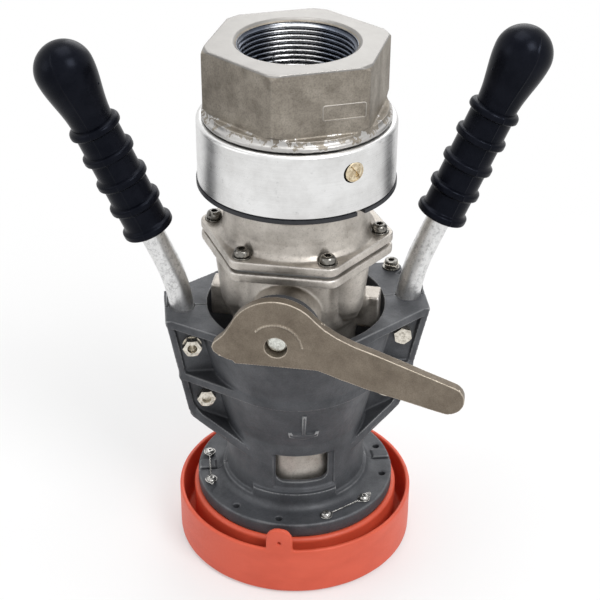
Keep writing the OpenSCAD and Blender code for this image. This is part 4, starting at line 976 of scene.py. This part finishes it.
def wireStrand(a, b, head, phase, tail=0.0):
    # one strand: round screw a, along to b, round it and into a curled tail; without a tail it ends before b
    w = lockWire
    along = (b - a).normalized()
    across = Vector((-along.y, along.x, 0))
    up = Vector((0, 0, 1))
    side = 1 if phase < pi / 2 else -1
    bend = head + w["radius"] + w["gap"]

    def roundHead(centre, first, final):
        turns = [first + (final - first) * k / w["loopCuts"] for k in range(w["loopCuts"] + 1)]
        return [centre + bend * (along * cos(t) + across * side * sin(t)) for t in turns]

    def twisted(middle, run):
        t = phase + 2 * pi * run / w["pitch"]
        return middle + (across * cos(t) + up * sin(t)) * w["spread"]

    path = roundHead(a, pi, w["leave"])
    reach = (b - a).length - 2 * bend - 2 * w["shoulder"]
    steps = max(w["minCuts"], int(reach / w["stretch"]))
    for k in range(steps + (1 if tail else 0)):
        run = reach * k / steps
        path.append(twisted(a + along * (bend + w["shoulder"] + run), run))
    if not tail:
        return path
    path += roundHead(b, pi - w["leave"], w["part"])
    for k in range(1, w["tailCuts"] + 1):
        s = k / w["tailCuts"]
        curl = w["curl"] * s
        middle = b + along * (bend + w["tailGap"] + tail / 3 * sin(curl)) + across * tail * w["tailWide"] * s
        path.append(twisted(middle + up * w["tailUp"] * (1 - cos(curl)) / 2, tail * s))
    return path


paths = []
for k in range(noseScrew["pairs"]):
    a, b = [at + Vector((0, 0, lockWire["up"][k])) for at in screwSpots[2 * k:2 * k + 2]]
    paths += [wireStrand(a, b, noseScrew["head"], phase, lockWire["tail"]) for phase in (0, pi)]
wires = tubes("lockWireSet", paths, lockWire["radius"])
dress(wires, "collar", "fastener_steel", "noseSteel", ["lock_wires"])
print("screws and lock wires made")

# wing bolts: (distance from the axis, height below the deck, depth of the seat)
wingBolt = {"across": 11.1, "headHigh": 4.3, "nutHigh": 5.2, "shank": 3.15, "past": 4.4, "gap": 0.1,
            "overlap": 0.4, "pitch": 1.0, "threaded": 12, "endDish": 3.0, "washer": 6.4, "washerHigh": 0.8,
            "upper": (69.8, 22.8, 12.5), "lower": (61.2, 68.0, 7.0),
            "left": {"turn": 30, "dish": 2.6}, "right": {"turn": 8, "dish": 0.0}}
w = wingBolt
hole = w["shank"] + w["gap"]
bolts, nuts = bmesh.new(), bmesh.new()
for side, hand in ((-1, "left"), (1, "right")):
    for level in ("upper", "lower"):
        x, below, seat = w[level]
        fromBack = hand == "left" and level == "upper"
        place = shifted(side * x, 0, deckTop - below)
        place = place @ Matrix.Rotation(radians(-90 if fromBack else 90), 4, "X") @ turned(w[hand]["turn"])
        hexInto(bolts, w["across"], seat, seat + w["headHigh"], place, dish=w[hand]["dish"])
        shankInto(bolts, w["shank"], -seat - w["past"], seat + w["overlap"], place, w["pitch"], w["threaded"],
                  w["endDish"])
        low = -seat - w["washerHigh"]
        washerInto(nuts, hole, w["washer"], low, w["washerHigh"], place)
        hexInto(nuts, w["across"], low - w["nutHigh"], low, place, hole=hole)
dressMesh("wingBoltSet", bolts, 30, "collar", "fastener_steel", "platedSteel", ["wing_bolts"])
dressMesh("wingNutSet", nuts, 30, "collar", "fastener_steel", "platedSteel", ["wing_nuts"])

# cap screw on the rear deck, with the end of a lock wire; the barrel is (radius, height) from its foot up
deckScrew = {"at": (69.5, 36.5), "washer": 6.0, "washerHole": 2.6, "washerHigh": 1.1, "lift": 0.02,
             "barrel": ((4.3, 1.1), (4.5, 1.3), (4.5, 5.3), (4.3, 5.75), (3.8, 6.0), (2.6, 6.0)),
             "head": 4.5, "socket": 4.0, "socketDeep": 2.4, "wireEnd": (4.0, -13.0), "wireUp": 3.6}
s = deckScrew
place = shifted(*s["at"], deckTop)
bm = bmesh.new()
washerInto(bm, s["washerHole"], s["washer"], s["lift"], s["washerHigh"], place)
socketHeadInto(bm, s["barrel"], s["socket"], s["socketDeep"], place)
dressMesh("deckScrewHead", bm, 30, "collar", "fastener_steel", "screwSteel", ["deck_screw"])
start = Vector((*s["at"], deckTop + s["wireUp"]))
end = start + Vector((*s["wireEnd"], 0))
wires = tubes("deckWire", [wireStrand(start, end, s["head"], phase) for phase in (0, pi)], lockWire["radius"])
dress(wires, "collar", "fastener_steel", "platedSteel")
print("bolts, nuts and deck screw made")

# rubber grips: sleeve with round rings, swelling to a bulb, with a mould seam and two nubs
gripShape = {
    "rodAt": 75.0, "rodLean": 8.0, "bendRadius": 130.0, "bendStart": 4.0, "bend": 14.6, "free": 24.0,
    "length": 118.0, "sleeve": 14.0, "bore": 7.94, "boreGap": 0.02, "boreDeep": 104.0, "mouth": (0.8, 0.4),
    "ring": 3.0, "ringOut": 16.5, "pitch": 18.8, "rings": 5, "skirt": 0.5, "skirtAt": 2.0, "skirtWide": 1.6,
    "neck": 13.2, "bulb": 18.3, "swell": 1.15, "seam": -82, "seamHigh": 0.35, "seamWide": 0.045,
    "seamStep": 0.12, "every": 0.5, "crownCuts": 19, "steps": 168,
    "nubs": ((104, 200, 1.1, 16.1), (35, 185, 0.9, 13.4)),  # height, angle, radius, distance from the axis
    "sides": {"grip_left": ("gripLeft", -1), "grip_right": ("gripRight", 1)},
}


def gripOutline():
    # from the open end up to the crown, with a fillet on both sides of every ring
    s = gripShape

    def withRing(r, near):
        if near < s["ring"]:
            r = max(r, s["ringOut"] - s["ring"] + (s["ring"] ** 2 - near ** 2) ** 0.5)
        return r

    top = s["ring"] + (s["rings"] - 1) * s["pitch"]
    bevel, z = s["mouth"]
    outline = [(s["bore"] + s["boreGap"], 0.0), (s["sleeve"] - bevel, 0.0)]
    while z < s["length"]:
        if z <= top:
            near = min(abs(z - s["ring"] - k * s["pitch"]) for k in range(s["rings"]))
            skirt = s["skirt"] * max(0, 1 - abs(near - s["skirtAt"]) / s["skirtWide"])
            r = min(withRing(s["sleeve"], near) + skirt, s["ringOut"])
        else:
            u = (z - top) / (s["length"] - top)
            r = s["neck"] + (s["bulb"] - s["neck"]) * (3 * u * u - 2 * u ** 3) ** s["swell"]
            r = withRing(r, z - top)
        outline.append((r, z))
        z += s["every"]
    for k in range(1, s["crownCuts"]):
        a = pi / 2 * k / s["crownCuts"]
        outline.append((s["bulb"] * cos(a), s["length"] + s["bulb"] * sin(a)))
    return outline


def seamed(a, r, z):
    # a raised flash line, and one half standing a little prouder than the other
    s = gripShape
    off = (a - radians(s["seam"]) + pi) % (2 * pi) - pi
    line = s["seamHigh"] * max(0, 1 - abs(off) / s["seamWide"])
    return r + line + (s["seamStep"] if 0 < off < pi / 2 else 0.0), z


s = gripShape
bend, bore = radians(s["bend"]), s["bore"] + s["boreGap"]
rings = [lambda a: (bore, s["boreDeep"])]
rings += [lambda a, at=at: seamed(a, *at) if at[0] > s["bore"] + 1 else at for at in gripOutline()]
for node, (name, side) in s["sides"].items():
    across, up = s["bendRadius"] * (1 - cos(bend)), s["bendStart"] + s["bendRadius"] * sin(bend)
    place = shifted(s["rodAt"], 0, deckTop) @ Matrix.Rotation(radians(s["rodLean"]), 4, "Y")
    place = place @ shifted(across, 0, up) @ Matrix.Rotation(bend, 4, "Y") @ shifted(0, 0, s["free"])
    if side < 0:
        place = Matrix.Diagonal((-1, 1, 1, 1)) @ place
    bm = bmesh.new()
    stackInto(bm, rings, place, s["steps"])
    for z, angle, radius, away in s["nubs"]:
        spot = place @ turned(angle, away, z)
        bmesh.ops.create_icosphere(bm, subdivisions=3, radius=radius * mm, matrix=spot)
    dressMesh(name, bm, 40, "collar", "grip_rubber", "gripRubber", [node])
print("grips made")
